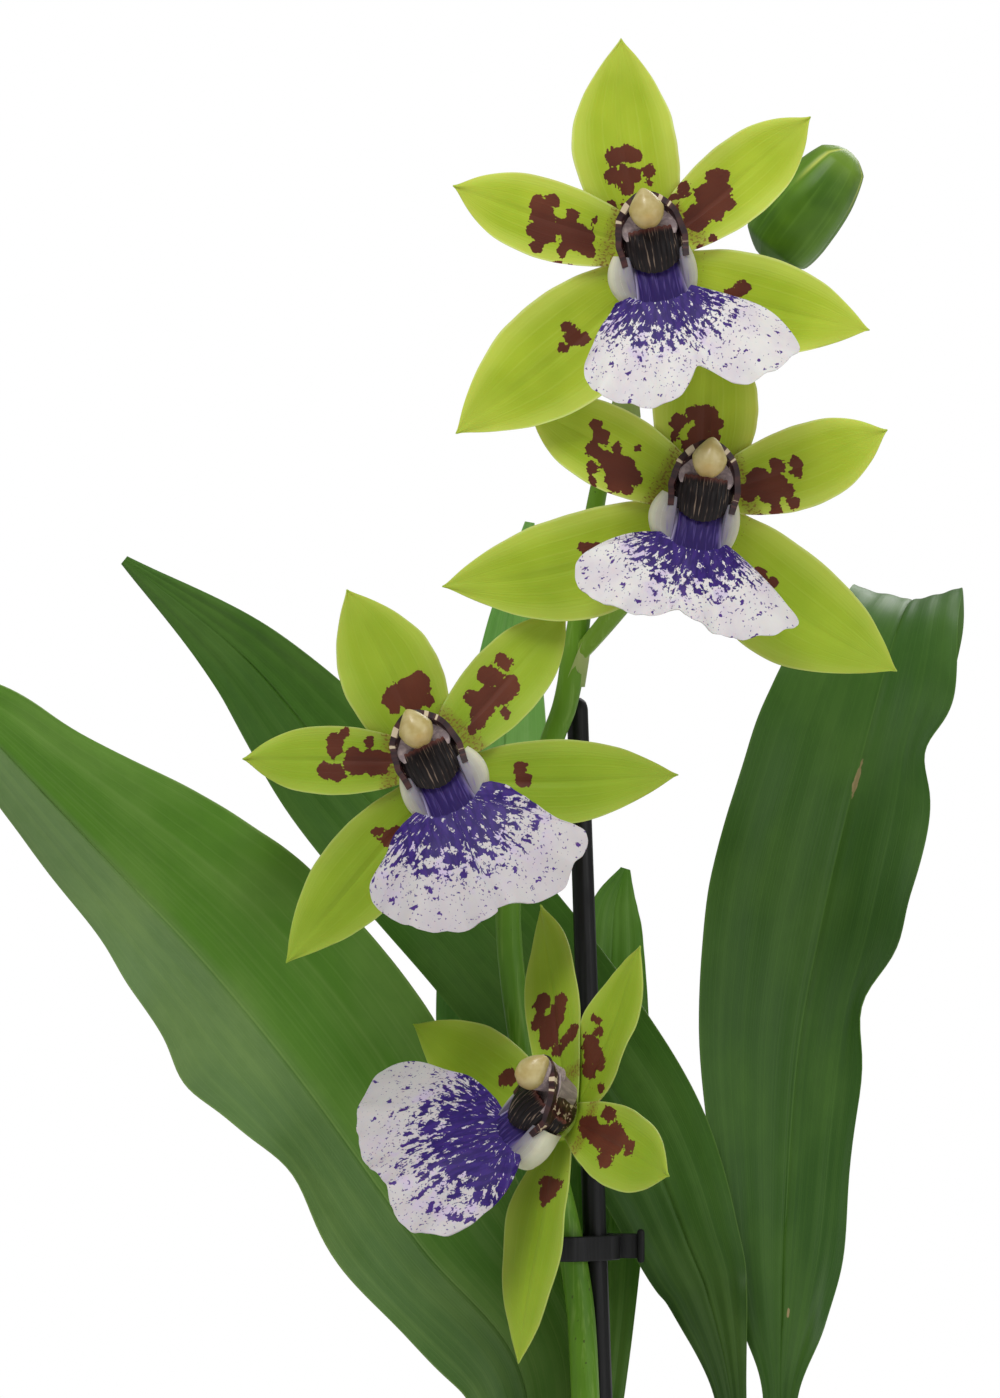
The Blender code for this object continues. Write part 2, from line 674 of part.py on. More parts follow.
def make_cap(name, spec, material):
    """The cap on the column's end: a small helmet with a blunt beak."""
    place = bloom_place(spec)
    rings = []
    for n, u, half, tall in ((12.0 + GAP, 6.6, 2.9, 3.6), (14.0, 6.7, 3.1, 3.8),
                             (15.6, 6.3, 2.4, 2.9), (16.6, 5.7, 1.1, 1.3)):
        rings.append([place(half * math.cos(a), u + tall * math.sin(a), n)
                      for a in (2 * math.pi * k / 10 for k in range(10))])
    return shade(loft(name, rings, material))


def curve_between(start, lead, end, arrive, steps):
    """Points of a cubic curve with its two end directions."""
    points = []
    for k in range(steps + 1):
        t = k / steps
        w = 1 - t
        points.append(start * w ** 3 + (start + lead) * (3 * w * w * t)
                      + (end - arrive) * (3 * w * t * t) + end * t ** 3)
    return points


def make_spike(material):
    """The flower stem with its pedicels, ovaries and bracts."""
    middles = [Vector(p) for p, r in STEM]
    radii = [r for p, r in STEM]
    steps = [k / STEM_STEPS for k in range(STEM_STEPS + 1)]
    spike = tube("spike", [smooth(middles, s) for s in steps], [smooth(radii, s) for s in steps],
                 STEM_SIDES, material)
    sprays = []
    for spec in BLOOMS.values():
        place = bloom_place(spec)
        right, up, ahead = bloom_axes(spec["facing"])
        root = Vector(spec["root"])
        end = place(0, 0, CORE_BACK - GAP)
        reach = (end - root).length
        outward = Vector((end.x - root.x, end.y - root.y, 0)).normalized()
        lead = (outward + Vector((0, 0, 0.8))) * reach * 0.33
        path = curve_between(root, lead, end - ahead * 1.5, ahead * reach * 0.42, 7) + [end]
        swell = [PEDICEL_RADIUS + (OVARY_RADIUS - PEDICEL_RADIUS) * min(1, k / 4) for k in range(9)]
        sprays.append(tube("pedicel", path, swell, 7, material))
        sprays.append(make_bract(root, outward, material))
    return shade(combine(spike, sprays))


def make_bract(root, outward, material):
    """A small pointed bract that clasps the stem below a pedicel."""
    side = outward.cross(Vector((0, 0, 1))).normalized()
    grid = []
    for i in range(5):
        t = i / 4
        half = 2.3 * (1 - t) ** 0.7 + 0.5
        centre = root + outward * (1.0 + 2.8 * t) + Vector((0, 0, -5.0 + 10.0 * t))
        grid.append([centre + side * (half * v) - outward * (1.1 * v * v * (1 - t))
                     for v in (-1.0, -0.45, 0.45, 1.0)])
    return blade("bract", grid, 0.7, material)


def make_bud(material):
    """The closed bud with the seams of its three sepals."""
    base, tip = Vector(BUD_BASE), Vector(BUD_TIP)
    axis = (tip - base).normalized()
    across, other = side_axes(axis)
    length = (tip - base).length
    rings = []
    for k in range(9):
        t = k / 8
        radius = BUD_RADIUS * smooth(BUD_PROFILE, t)
        centre = base + axis * (GAP + (length - GAP) * t)
        ring = []
        for j in range(12):
            a = 2 * math.pi * j / 12
            r = radius * (1 - 0.06 * max(0.0, math.cos(3 * a)))
            ring.append(centre + (across * math.cos(a) + other * math.sin(a)) * r)
        rings.append(ring)
    return shade(loft("bud", rings, material))


def make_stake(material):
    foot, top = Vector(STAKE_FOOT), Vector(STAKE_TOP)
    axis = (top - foot).normalized()
    length = (top - foot).length
    levels = [(0.0, 0.6), (5.0, STAKE_FOOT_RADIUS), (length - 1.8, STAKE_TOP_RADIUS),
              (length - 0.6, STAKE_TOP_RADIUS * 0.8), (length, STAKE_TOP_RADIUS * 0.35)]
    return shade(tube("stake", [foot + axis * d for d, r in levels], [r for d, r in levels],
                      STAKE_SIDES, material), 40.0)


def make_clip(material):
    """A ring round stem and stake with a short finger tab."""
    stake = stake_point(CLIP_Z)
    stem = Vector((-10.9, 0.0, CLIP_Z))
    flat = Vector((stake.x - stem.x, stake.y - stem.y, 0))
    along = flat.normalized()
    beside = Vector((-along.y, along.x, 0))
    inner = 2.55 + GAP + 0.35
    rings = []
    for radius, z in ((inner, 0), (inner + CLIP_WALL, 0), (inner + CLIP_WALL, CLIP_HEIGHT),
                      (inner, CLIP_HEIGHT)):
        ring = []
        for j in range(24):
            a = 2 * math.pi * (j + 0.5) / 24
            centre = stake if math.cos(a) > 0 else stem
            point = centre + (along * math.cos(a) + beside * math.sin(a)) * radius
            ring.append(Vector((point.x, point.y, CLIP_Z - CLIP_HEIGHT / 2 + z)))
        rings.append(ring)
    points = [p for ring in rings for p in ring]
    faces = []
    for k in range(4):
        for j in range(24):
            a, b = k * 24 + j, k * 24 + (j + 1) % 24
            c, d = (b + 24) % 96, (a + 24) % 96
            faces += [(a, b, c), (a, c, d)]
    ring_body = mesh_object("clip", points, faces, material)
    start = stake + along * (inner + 0.5)
    tab = box_between("tab", (start.x, start.y - 1.0), (CLIP_END, start.y + 1.0),
                      CLIP_Z - CLIP_HEIGHT / 2 + 0.05, CLIP_Z + CLIP_HEIGHT / 2 - 0.05, material)
    lip = box_between("lip", (CLIP_END - 1.2, start.y - 1.9), (CLIP_END + 0.1, start.y + 1.9),
                      CLIP_Z - CLIP_HEIGHT / 2 - 0.7, CLIP_Z + CLIP_HEIGHT / 2 + 0.7, material)
    return combine(ring_body, [tab, lip])


def box_between(name, low, high, bottom, top, material):
    corners = [(low[0], low[1]), (high[0], low[1]), (high[0], high[1]), (low[0], high[1])]
    rings = [[Vector((x, y, z)) for x, y in corners] for z in (bottom, top)]
    return loft(name, rings, material)


def main():
    clear_scene()
    make_pot(make_material("pot_plastic", (0.16, 0.10, 0.08), 0.55))
    make_bark(make_material("bark_mix", (0.16, 0.08, 0.04), 0.9))
    bulb_green = make_material("bulb_green", (0.12, 0.22, 0.05), 0.5)
    for name, shape in BULBS.items():
        make_bulb(name, shape, bulb_green)
    leaf_green = make_material("leaf_green", (0.06, 0.19, 0.03), 0.4)
    for name, spec in LEAVES.items():
        grid = leaf_grid(spec, LEAF_ROWS, LEAF_COLS)
        shade(blade(name, grid, LEAF_THICK, leaf_green))
    make_spike(make_material("stem_green", (0.20, 0.40, 0.06), 0.5))
    make_bud(make_material("bud_green", (0.16, 0.36, 0.05), 0.45))
    make_stake(make_material("stake_black", (0.015, 0.015, 0.017), 0.5))
    make_clip(make_material("clip_black", (0.02, 0.02, 0.022), 0.45))
    tepal_green = make_material("tepal_green", (0.36, 0.50, 0.06), 0.5)
    lip_white = make_material("lip_white", (0.80, 0.76, 0.84), 0.5)
    callus_brown = make_material("callus_brown", (0.05, 0.015, 0.02), 0.5)
    column_brown = make_material("column_brown", (0.12, 0.05, 0.03), 0.5)
    cap_cream = make_material("cap_cream", (0.62, 0.54, 0.28), 0.45)
    for name, spec in BLOOMS.items():
        make_tepals(name + "_tepals", spec, tepal_green)
        make_lip(name + "_lip", spec, lip_white)
        make_callus(name + "_callus", spec, callus_brown)
        make_column(name + "_column", spec, column_brown)
        make_cap(name + "_cap", spec, cap_cream)


main()
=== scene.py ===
"""Looks of the zygopetalum orchid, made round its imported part.

Metres, +Z up, the front faces -Y, as in the part. Lengths below are in millimetres.
Every fine piece stands where its solid stands. It has more points and finer edges, and
adds the relief and the markings.
"""
import math
import random

import bmesh
import bpy
from mathutils import Matrix, Vector, noise


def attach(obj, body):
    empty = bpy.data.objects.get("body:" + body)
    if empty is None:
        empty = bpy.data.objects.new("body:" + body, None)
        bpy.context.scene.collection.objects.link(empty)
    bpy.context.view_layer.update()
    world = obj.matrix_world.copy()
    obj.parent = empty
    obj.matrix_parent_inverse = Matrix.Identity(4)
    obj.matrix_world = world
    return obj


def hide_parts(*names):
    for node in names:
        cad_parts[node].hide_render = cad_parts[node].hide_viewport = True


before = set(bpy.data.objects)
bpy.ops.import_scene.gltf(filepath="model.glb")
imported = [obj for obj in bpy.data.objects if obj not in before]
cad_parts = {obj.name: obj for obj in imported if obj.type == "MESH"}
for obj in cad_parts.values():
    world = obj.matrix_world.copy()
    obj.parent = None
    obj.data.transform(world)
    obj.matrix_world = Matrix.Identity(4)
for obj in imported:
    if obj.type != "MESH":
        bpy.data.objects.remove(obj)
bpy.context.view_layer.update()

MM = 0.001
# Free space between neighbouring pieces, as in part.py
GAP = 0.3
SEED = 11

# Pot and bark
POT_HEIGHT = 108.0
POT_FOOT_RADIUS = 43.0
POT_TOP_RADIUS = 57.5
POT_RIM_RADIUS = 60.0
POT_RIM_HEIGHT = 12.0
POT_WALL = 1.5
POT_FLOOR = 2.5
POT_SIDES = 144
DRAIN_COUNT = 6
DRAIN_RADIUS = 4.0
DRAIN_CIRCLE = 30.0
DRAIN_SIDES = 24
BARK_TOP = 98.0
CHIP_COUNT = 170
CHIP_SIZE = (17.0, 10.0, 5.5)
CHIP_SIDES = 18
CHIP_CLEARANCE = 4.5
BED_SIDES = 96
BED_RINGS = 40
GOLDEN_ANGLE = 137.5

# Bulbs: centre x, centre y, widest radius, height above the bark, neck radius
BULBS = {
    "bulb_left": (-17.0, 6.0, 10.5, 68.0, 8.5),
    "bulb_right": (23.0, 5.0, 12.5, 70.0, 8.5),
    "bulb_old": (4.0, 31.0, 10.5, 42.0, 3.0),
}
BULB_SINK = 6.0
BULB_FOOT_RADIUS = 7.0
BULB_SIDES = 108
BULB_LEVELS = 60

# Leaves: each station is a point of the midrib and the widths to its left and right.
# turn swings the right edge back, fold lifts both edges, wave is (height, count, phase).
# edges move the margin: (share of length, side, how far outwards, spread along).
# scars mark the blade: (share of length, share of half width, spread along, spread across).
LEAF_PLEAT = 0.1
LEAF_TIP = 0.9
LEAVES = {
    "leaf_front": dict(
        stations=[
            ((-18.5, 1.5, 166.9), 3.4, 3.4),
            ((-18.0, 3.5, 178.0), 5.0, 5.5),
            ((-19.8, 8.5, 209.3), 12.7, 14.6),
            ((-37.9, 9.0, 232.0), 15.6, 22.0),
            ((-58.6, 5.5, 260.9), 15.0, 25.5),
            ((-75.2, -1.5, 281.9), 14.0, 25.4),
            ((-90.4, -11.0, 298.7), 10.8, 22.0),
            ((-111.7, -28.0, 322.1), 5.8, 12.0),
            ((-124.6, -34.0, 336.3), LEAF_TIP, LEAF_TIP),
        ],
        turn=16.0, fold=0.16, wave=(1.6, 4.5, 0.4),
        edges=[(0.565, -1, 2.4, 0.035), (0.46, -1, -3.0, 0.035), (0.35, -1, -1.5, 0.04),
               (0.73, -1, -1.0, 0.04), (0.84, 1, -2.2, 0.05)],
    ),
    "leaf_long": dict(
        stations=[
            ((19.0, 1.5, 168.9), 3.0, 3.0),
            ((19.2, 3.0, 186.0), 2.7, 2.7),
            ((18.3, 6.0, 204.7), 2.9, 2.9),
            ((14.8, 10.0, 220.8), 6.9, 6.9),
            ((11.3, 12.0, 230.5), 9.4, 9.4),
            ((0.2, 17.0, 254.9), 12.6, 12.6),
            ((-24.5, 23.0, 287.1), 14.2, 14.2),
            ((-50.4, 28.0, 315.2), 12.7, 12.7),
            ((-70.0, 30.0, 338.1), 7.7, 7.7),
            ((-92.4, 30.0, 356.3), LEAF_TIP, LEAF_TIP),
        ],
        turn=-6.0, fold=0.12, wave=(0.8, 3.5, 1.0),
    ),
    "leaf_rear": dict(
        stations=[
            ((-18.5, 10.5, 166.9), 3.4, 3.4),
            ((-18.0, 13.0, 178.0), 4.2, 4.2),
            ((-15.2, 22.0, 202.8), 5.6, 5.6),
            ((-19.7, 31.0, 226.0), 7.2, 7.2),
            ((-25.2, 37.0, 251.4), 8.3, 8.3),
            ((-26.5, 41.0, 275.2), 8.7, 8.7),
            ((-24.0, 43.0, 299.2), 8.7, 8.7),
            ((-22.5, 43.0, 322.3), 7.8, 7.8),
            ((-21.2, 42.0, 343.6), 4.8, 4.8),
            ((-17.9, 41.0, 363.5), LEAF_TIP, LEAF_TIP),
        ],
        turn=0.0, fold=0.12, wave=(0.5, 3.0, 0.0),
    ),
    "leaf_short": dict(
        stations=[
            ((-11.8, 6.4, 166.9), 2.6, 2.6),
            ((-11.0, 9.0, 178.0), 3.6, 3.6),
            ((-7.0, 15.5, 194.4), 4.5, 4.5),
            ((-4.1, 21.0, 217.6), 5.2, 5.2),
            ((-3.6, 27.0, 239.2), 6.9, 6.9),
            ((-3.6, 31.0, 266.4), 7.7, 7.7),
            ((-2.8, 33.0, 284.7), 5.9, 5.9),
            ((-2.2, 34.0, 293.0), 4.2, 4.2),
            ((-0.3, 34.0, 299.6), LEAF_TIP, LEAF_TIP),
        ],
        turn=0.0, fold=0.12, wave=(0.3, 3.0, 0.0),
    ),
    "leaf_arched": dict(
        stations=[
            ((26.5, 8.0, 168.9), 3.0, 3.0),
            ((26.8, 10.0, 187.0), 2.9, 2.9),
            ((27.4, 13.5, 204.3), 3.3, 3.3),
            ((27.9, 17.5, 217.2), 7.8, 7.8),
            ((28.7, 22.0, 235.1), 12.4, 12.6),
            ((31.2, 28.0, 266.0), 19.0, 14.6),
            ((35.9, 34.0, 290.1), 22.0, 15.8),
            ((40.3, 38.0, 308.5), 21.4, 15.4),
            ((44.4, 44.0, 323.2), 20.2, 14.0),
            ((48.3, 52.0, 336.2), 17.2, 13.4),
            ((52.2, 64.0, 346.6), 11.6, 10.5),
            ((55.2, 78.0, 349.0), 10.4, 9.1),
            ((57.9, 94.0, 341.0), 7.7, 7.3),
            ((60.5, 106.0, 328.0), LEAF_TIP, LEAF_TIP),
        ],
        turn=8.0, fold=0.14, wave=(1.3, 4.5, 2.2),
        edges=[(0.415, 1, -5.0, 0.03), (0.345, 1, -2.4, 0.05), (0.615, 1, -3.0, 0.03), (0.48, 1, -1.2, 0.03)],
        scars=[(0.575, 0.02, 0.02, 0.035), (0.24, 0.12, 0.005, 0.03)],
    ),
}

# Flower stem: its ribs, then points up its middle with the radius there
STEM_RIBS = 9
STEM_RIB_DEPTH = 0.02
STEM = [
    ((-4.5, -12.0, 90.0), 2.7),
    ((-4.8, -12.0, 104.0), 2.7),
    ((-7.0, -9.0, 150.0), 2.6),
    ((-8.1, -3.0, 205.1), 2.55),
    ((-10.1, 0.0, 228.9), 2.5),
    ((-16.2, 0.0, 255.0), 2.4),
    ((-20.0, 0.0, 272.3), 2.35),
    ((-22.0, 0.0, 292.5), 2.3),
    ((-19.8, 0.0, 307.2), 2.2),
    ((-14.0, 0.0, 323.6), 2.1),
    ((-10.8, 0.0, 334.2), 2.2),
    ((-6.3, 0.0, 365.2), 1.65),
    ((-1.8, 0.0, 383.7), 1.45),
    ((2.6, -1.0, 397.2), 1.3),
    ((12.0, -6.0, 403.5), 1.15),
    ((23.4, -11.5, 408.5), 1.2),
]
STEM_STEPS = 200
OVARY_RADIUS = 2.1
PEDICEL_RADIUS = 1.5

# Blooms: middle, facing (yaw, pitch, roll in degrees), where the pedicel leaves the stem,
# then each sepal and petal as (turn from the top, length, width, lean forward, side bend).
# A lip's pitch tips it forward, its rim is (angle from straight down, radius) round the hinge,
# lobes say how far its left and right lobe bulge, and span how far out its markings reach.
BLOOMS = {
    "bloom_1": dict(
        middle=(3.4, -32.0, 409.9), facing=(0.0, 0.0, -11.0), root=(-0.8, -0.4, 386.5),
        sepals=[(2.5, 37.4, 18.4, 4.0, -2.2), (-122.0, 47.3, 20.4, -2.0, -1.6),
                (121.0, 40.9, 17.2, -2.0, 1.8)],
        petals=[(-61.4, 36.8, 14.0, 3.0, -0.6), (61.1, 36.2, 14.0, 3.0, 0.4)],
        lip=dict(pitch=35.0, lobes=(4.4, 2.6), span=0.92,
                 rim=[(-70.0, 8.8), (-60.0, 14.1), (-50.0, 20.8), (-38.0, 23.7), (-19.0, 23.9),
                      (-2.0, 23.0), (13.0, 18.5), (24.0, 23.8), (43.0, 26.7), (54.0, 26.8),
                      (65.0, 19.2), (67.0, 10.9)]),
    ),
    "bloom_2": dict(
        middle=(12.4, -24.0, 366.6), facing=(0.0, 0.0, 9.0), root=(-9.9, 0.0, 338.0),
        sepals=[(-7.0, 32.0, 18.6, 2.5, 0.0), (-118.0, 48.7, 18.8, -1.0, -3.8),
                (122.7, 46.4, 20.0, -2.0, 3.8)],
        petals=[(-71.4, 35.0, 14.6, 2.0, 0.0), (61.2, 34.7, 14.6, 3.0, 1.0)],
        lip=dict(pitch=35.0, lobes=(4.6, 2.8), span=0.88,
                 rim=[(-76.0, 9.7), (-70.0, 20.4), (-58.0, 23.1), (-42.0, 22.3), (-19.0, 19.0),
                      (-6.0, 16.7), (18.0, 20.3), (42.0, 23.5), (56.0, 24.1), (59.5, 19.9),
                      (63.0, 14.0), (67.0, 8.6)]),
    ),
    "bloom_3": dict(
        middle=(-35.5, -20.0, 319.6), facing=(0.0, 0.0, -25.0), root=(-20.8, 0.0, 302.0),
        sepals=[(-1.2, 34.1, 17.6, 4.0, 0.3), (-119.0, 44.2, 15.6, -2.0, -0.8),
                (118.0, 43.9, 15.2, -2.0, 1.6)],
        petals=[(-64.0, 33.5, 12.2, 4.0, 0.0), (66.8, 35.9, 13.6, -3.0, 0.2)],
        lip=dict(pitch=35.0, lobes=(3.0, 4.2), span=1.08,
                 rim=[(-80.0, 7.0), (-70.0, 14.3), (-64.0, 21.4), (-51.0, 24.0), (-27.0, 25.7),
                      (-3.0, 24.9), (1.0, 24.3), (21.0, 27.3), (33.0, 26.8), (48.0, 26.4),
                      (53.0, 18.2), (79.0, 8.2)]),
    ),
    "bloom_4": dict(
        middle=(-11.4, -34.0, 257.1), facing=(-54.0, 18.0, 42.0), root=(-14.5, 0.0, 248.5),
        sepals=[(-20.0, 33.4, 15.5, 4.0, 0.5), (-115.0, 48.5, 17.0, 6.0, -1.0),
                (138.0, 44.0, 17.0, -2.0, 1.5)],
        petals=[(-68.0, 41.7, 14.0, 4.0, 0.0), (62.4, 40.5, 14.0, 4.0, 0.0)],
        lip=dict(pitch=50.0, lobes=(3.2, 3.4), span=1.3,
                 rim=[(-80.0, 9.7), (-72.0, 23.6), (-64.0, 35.5), (-51.0, 33.6), (-27.0, 29.1),
                      (-12.0, 26.9), (4.0, 24.8), (23.0, 26.4), (47.0, 23.8), (61.0, 14.8),
                      (78.0, 7.1)]),
    ),
}
SEPAL_PROFILE = [0.42, 0.66, 0.87, 0.98, 1.0, 0.93, 0.73, 0.42, 0.07]
PETAL_PROFILE = [0.42, 0.64, 0.83, 0.95, 1.0, 0.97, 0.83, 0.52, 0.07]
TIP_POINT = 28
STAIN_BLEND = 0.25
CORE_RADIUS = 3.7
LATERAL_DROP = 3.6
CORE_BACK = -3.0
CORE_FRONT = 1.5

# Lip, in its bloom's own frame
LIP_HINGE = (0.0, -6.0, 7.0)
LIP_INNER = 2.5
LIP_REACH = 25.0
LIP_DROOP = 3.5
LIP_FRILL = 0.7
WAIST_HALF = 4.3
LOBE_ROOT = 4.3
CALLUS_RIDGES = 8.5
HOOD_FOOT = 1.0
WING_SHARE = 0.18

# Cap levels: forward, up, half width and half height. Stigma levels: forward and size.
CAP_SIDES = 48
CAP_LEVELS = [(11.6, 6.5, 2.4, 3.0), (12.2, 6.6, 2.9, 3.5), (13.2, 6.7, 3.1, 3.6), (14.3, 6.4, 2.7, 3.1),
              (15.1, 6.1, 1.9, 2.2), (15.5, 5.8, 1.0, 1.2), (15.6, 5.7, 0.3, 0.35)]
STIGMA_PLATE = ((3.0, 0.45), (8.0, 0.86), (8.9, 0.97), (9.2, 0.9), (9.0, 0.7), (8.5, 0.4), (8.3, 0.1))
STIGMA_BED = ((7.6, 0.42), (9.6, 0.46), (11.2, 0.52), (12.0, 0.5), (12.2, 0.3))

BUD_BASE = (24.0, -11.8, 408.9)
BUD_TIP = (38.9, -16.0, 428.2)
BUD_PROFILE = [0.72, 0.92, 1.0, 1.0, 0.96, 0.88, 0.74, 0.52]
BUD_RADIUS = 7.3
BUD_TWIST = 1.0

STAKE_FOOT = (1.0, -0.5, 14.0)
STAKE_TOP = (-9.5, 5.4, 331.0)
STAKE_FOOT_RADIUS = 2.6
STAKE_TOP_RADIUS = 1.9
STAKE_SIDES = 48
STAKE_FLUTES = 12
STAKE_FLUTE_DEPTH = 0.012
CLIP_HEIGHT = 4.5
CLIP_Z = 232.0
CLIP_WALL = 1.4
CLIP_END = 2.6
# Where the stem passes the clip, the radius that its ring allows for, and the play beyond GAP
CLIP_STEM = (-10.9, 0.0)
CLIP_STEM_RADIUS = 2.55
CLIP_PLAY = 0.35

# Leaf greens as seen, 0 to 255: left half, right half, veins and foot. Where one half is greyer or darker
# than the other, that is painted sheen from light on the folded blade; the foot green is painted shade
# towards the leaf's foot and also colours its dark mottle.
LEAF_GREENS = {
    "leaf_front": ((98, 126, 74), (80, 126, 28), (132, 160, 86), (52, 92, 20)),
    "leaf_long": ((58, 96, 28), (62, 102, 28), (98, 130, 58), (20, 42, 12)),
    "leaf_rear": ((96, 148, 66), (104, 154, 72), (150, 184, 116), (70, 116, 40)),
    "leaf_short": ((70, 116, 32), (78, 124, 34), (132, 166, 82), (52, 92, 24)),
    "leaf_arched": ((62, 102, 30), (54, 94, 26), (92, 130, 52), (34, 66, 12)),
}

# Blotches of each sepal and petal: how far along and across, then the radius, or the half
# length and half width of one that isn't round
STAINS = {
    "bloom_1": dict(
        sepals=[
            [(17.1, -2.1, 1.4), (17.5, 0.2, 1.4), (16.8, 1.7, 1.0), (13.9, -3.1, 1.3),
             (14.2, -0.8, 1.0), (13.6, 0.8, 1.1), (13.9, 3.6, 0.9), (11.6, -1.1, 1.3),
             (11.9, 3.0, 0.5), (8.9, -4.4, 0.6), (8.4, -2.5, 0.4)],
            [(19.5, 3.1, 0.9), (19.9, 1.1, 1.3, 1.2), (18.9, -0.5, 1.2, 1.1), (22.7, 0.5, 0.9)],
            [(16.5, -1.9, 1.3, 1.2), (15.7, -0.8, 0.6), (14.2, -0.9, 0.5)],
        ],
        petals=[
            [(21.4, 2.1, 1.5), (19.5, 3.4, 1.1), (20.0, 0.2, 2.0), (20.8, -2.5, 1.2),
             (18.6, -2.4, 1.7), (19.6, -5.1, 1.0), (15.2, 2.1, 1.0), (16.0, -0.4, 1.6),
             (13.5, -0.5, 1.4), (15.1, -4.3, 0.9), (14.2, -2.7, 1.1), (11.8, -0.6, 1.2),
             (12.0, -3.0, 1.1), (10.4, -3.3, 1.0), (11.1, 2.1, 0.5), (15.0, -7.2, 0.8),
             (12.7, -7.1, 0.6)],
            [(11.4, -5.3, 0.9), (10.3, -4.4, 0.6), (16.3, -3.5, 1.1), (17.8, -2.3, 1.1),
             (15.3, -0.9, 2.4), (13.0, -2.1, 1.4), (15.4, 1.8, 1.3), (12.2, 0.5, 1.7),
             (9.5, -0.4, 1.4), (9.2, 1.4, 1.4), (13.0, 2.4, 1.1), (7.5, -0.1, 0.7), (7.6, -3.3, 0.7),
             (9.5, 5.1, 0.6), (6.7, 4.8, 0.4), (8.3, -5.0, 0.4)],
        ],
    ),
    "bloom_2": dict(
        sepals=[
            [(14.9, -2.3, 1.0), (14.2, 0.1, 2.0), (12.8, 2.2, 1.1), (13.1, -4.7, 1.3, 1.4),
             (10.5, -5.2, 0.7), (10.8, -0.8, 1.9), (8.6, -2.6, 1.2), (10.1, 1.6, 1.0)],
            [(22.2, 3.0, 1.1, 1.0), (20.1, 2.4, 0.9, 0.8)],
            [(15.9, -1.2, 1.1, 1.0), (18.4, -1.7, 1.0, 0.9)],
        ],
        petals=[
            [(22.7, 2.6, 1.0), (20.7, 1.2, 1.3), (20.8, -1.7, 1.2), (18.5, -2.0, 1.2),
             (17.3, 0.6, 0.9), (19.7, -4.4, 1.0), (16.2, -2.5, 1.9), (14.4, -1.0, 1.2),
             (14.7, -4.4, 1.9), (12.7, -2.6, 1.5), (12.3, -5.0, 0.9), (18.3, -6.8, 0.7),
             (15.0, -7.7, 0.6), (14.2, 2.3, 0.5)],
            [(14.3, -1.7, 1.2), (13.7, 0.9, 1.3), (17.7, -1.1, 1.0), (17.2, 0.7, 0.9),
             (10.5, 0.1, 2.3), (11.5, 2.6, 1.9), (7.9, 1.3, 1.7), (14.6, 3.1, 1.1), (14.7, 5.6, 1.0),
             (11.6, 5.4, 0.7), (11.3, 6.4, 0.6), (8.6, 6.2, 0.6), (6.1, 6.6, 0.5)],
        ],
    ),
    "bloom_3": dict(
        sepals=[
            [(14.2, 4.1, 1.4), (12.7, 4.1, 1.4), (13.1, 1.3, 2.3), (13.6, -0.8, 1.8),
             (13.2, -2.2, 1.2), (11.0, 1.5, 1.8), (10.2, 3.8, 1.0), (11.4, -1.8, 0.8)],
            [(14.9, 2.8, 0.8), (15.0, 0.5, 1.2), (12.9, 0.0, 1.1, 1.0), (15.3, -0.4, 0.7)],
            [(14.9, -2.7, 1.1), (14.6, -1.4, 0.7), (15.9, -0.4, 1.3, 1.2)],
        ],
        petals=[
            [(17.2, 3.6, 1.3), (17.4, 1.7, 1.1), (19.1, -1.5, 1.0), (19.0, -2.6, 0.8),
             (17.0, -2.2, 1.4), (14.1, 1.1, 1.2), (13.3, -0.6, 2.0), (10.7, -0.1, 2.0),
             (9.4, -1.1, 1.4), (7.9, 0.5, 1.1), (11.2, 3.5, 0.8), (15.4, 4.9, 0.7)],
            [(21.6, -3.2, 1.0), (21.8, -2.0, 1.1), (18.0, -3.6, 1.4), (18.5, -1.8, 1.4),
             (19.1, 1.1, 1.8), (16.9, 1.0, 1.7), (15.0, -0.4, 2.0), (13.2, -2.4, 1.3),
             (13.0, 0.2, 1.8), (11.2, 1.0, 1.3), (15.2, 3.8, 0.8), (9.3, 1.4, 0.8)],
        ],
    ),
    "bloom_4": dict(
        sepals=[
            [(17.5, -4.4, 0.6, 1.1), (16.1, -2.7, 0.6, 1.0), (13.5, -3.3, 1.3, 2.0),
             (12.1, -1.9, 1.7, 2.8), (11.8, 1.5, 1.0, 1.4), (9.3, -1.0, 1.2, 1.9),
             (8.2, 4.7, 0.6, 1.0)],
            [(19.4, 3.0, 1.7, 1.2), (20.7, 1.8, 1.3, 1.0)],
            [(10.1, 0.1, 1.1, 1.7), (10.2, -3.0, 1.1, 1.7), (11.8, -0.9, 1.4, 2.2),
             (13.3, -0.3, 1.0, 1.4)],
        ],
        petals=[
            [(23.6, -2.8, 1.6, 1.9), (21.6, 1.8, 1.6, 1.8), (19.8, 0.6, 1.8, 2.2),
             (20.3, -3.9, 1.4, 1.7), (17.9, -1.2, 1.9, 2.4), (14.7, 4.3, 1.2, 1.6),
             (16.2, -2.1, 1.8, 2.2), (14.1, 2.1, 1.0, 1.2), (13.0, -0.1, 1.0, 1.2)],
            [(13.2, -4.3, 2.2, 1.1), (8.9, -0.5, 3.6, 1.9), (12.8, 0.1, 3.4, 1.8),
             (17.6, -1.3, 3.7, 1.9), (18.4, -2.3, 1.7, 0.8), (17.3, 1.1, 2.8, 1.3),
             (17.9, 3.2, 2.4, 1.2), (22.9, -1.3, 1.8, 0.8), (23.9, -0.1, 1.4, 0.7)],
        ],
    ),
}

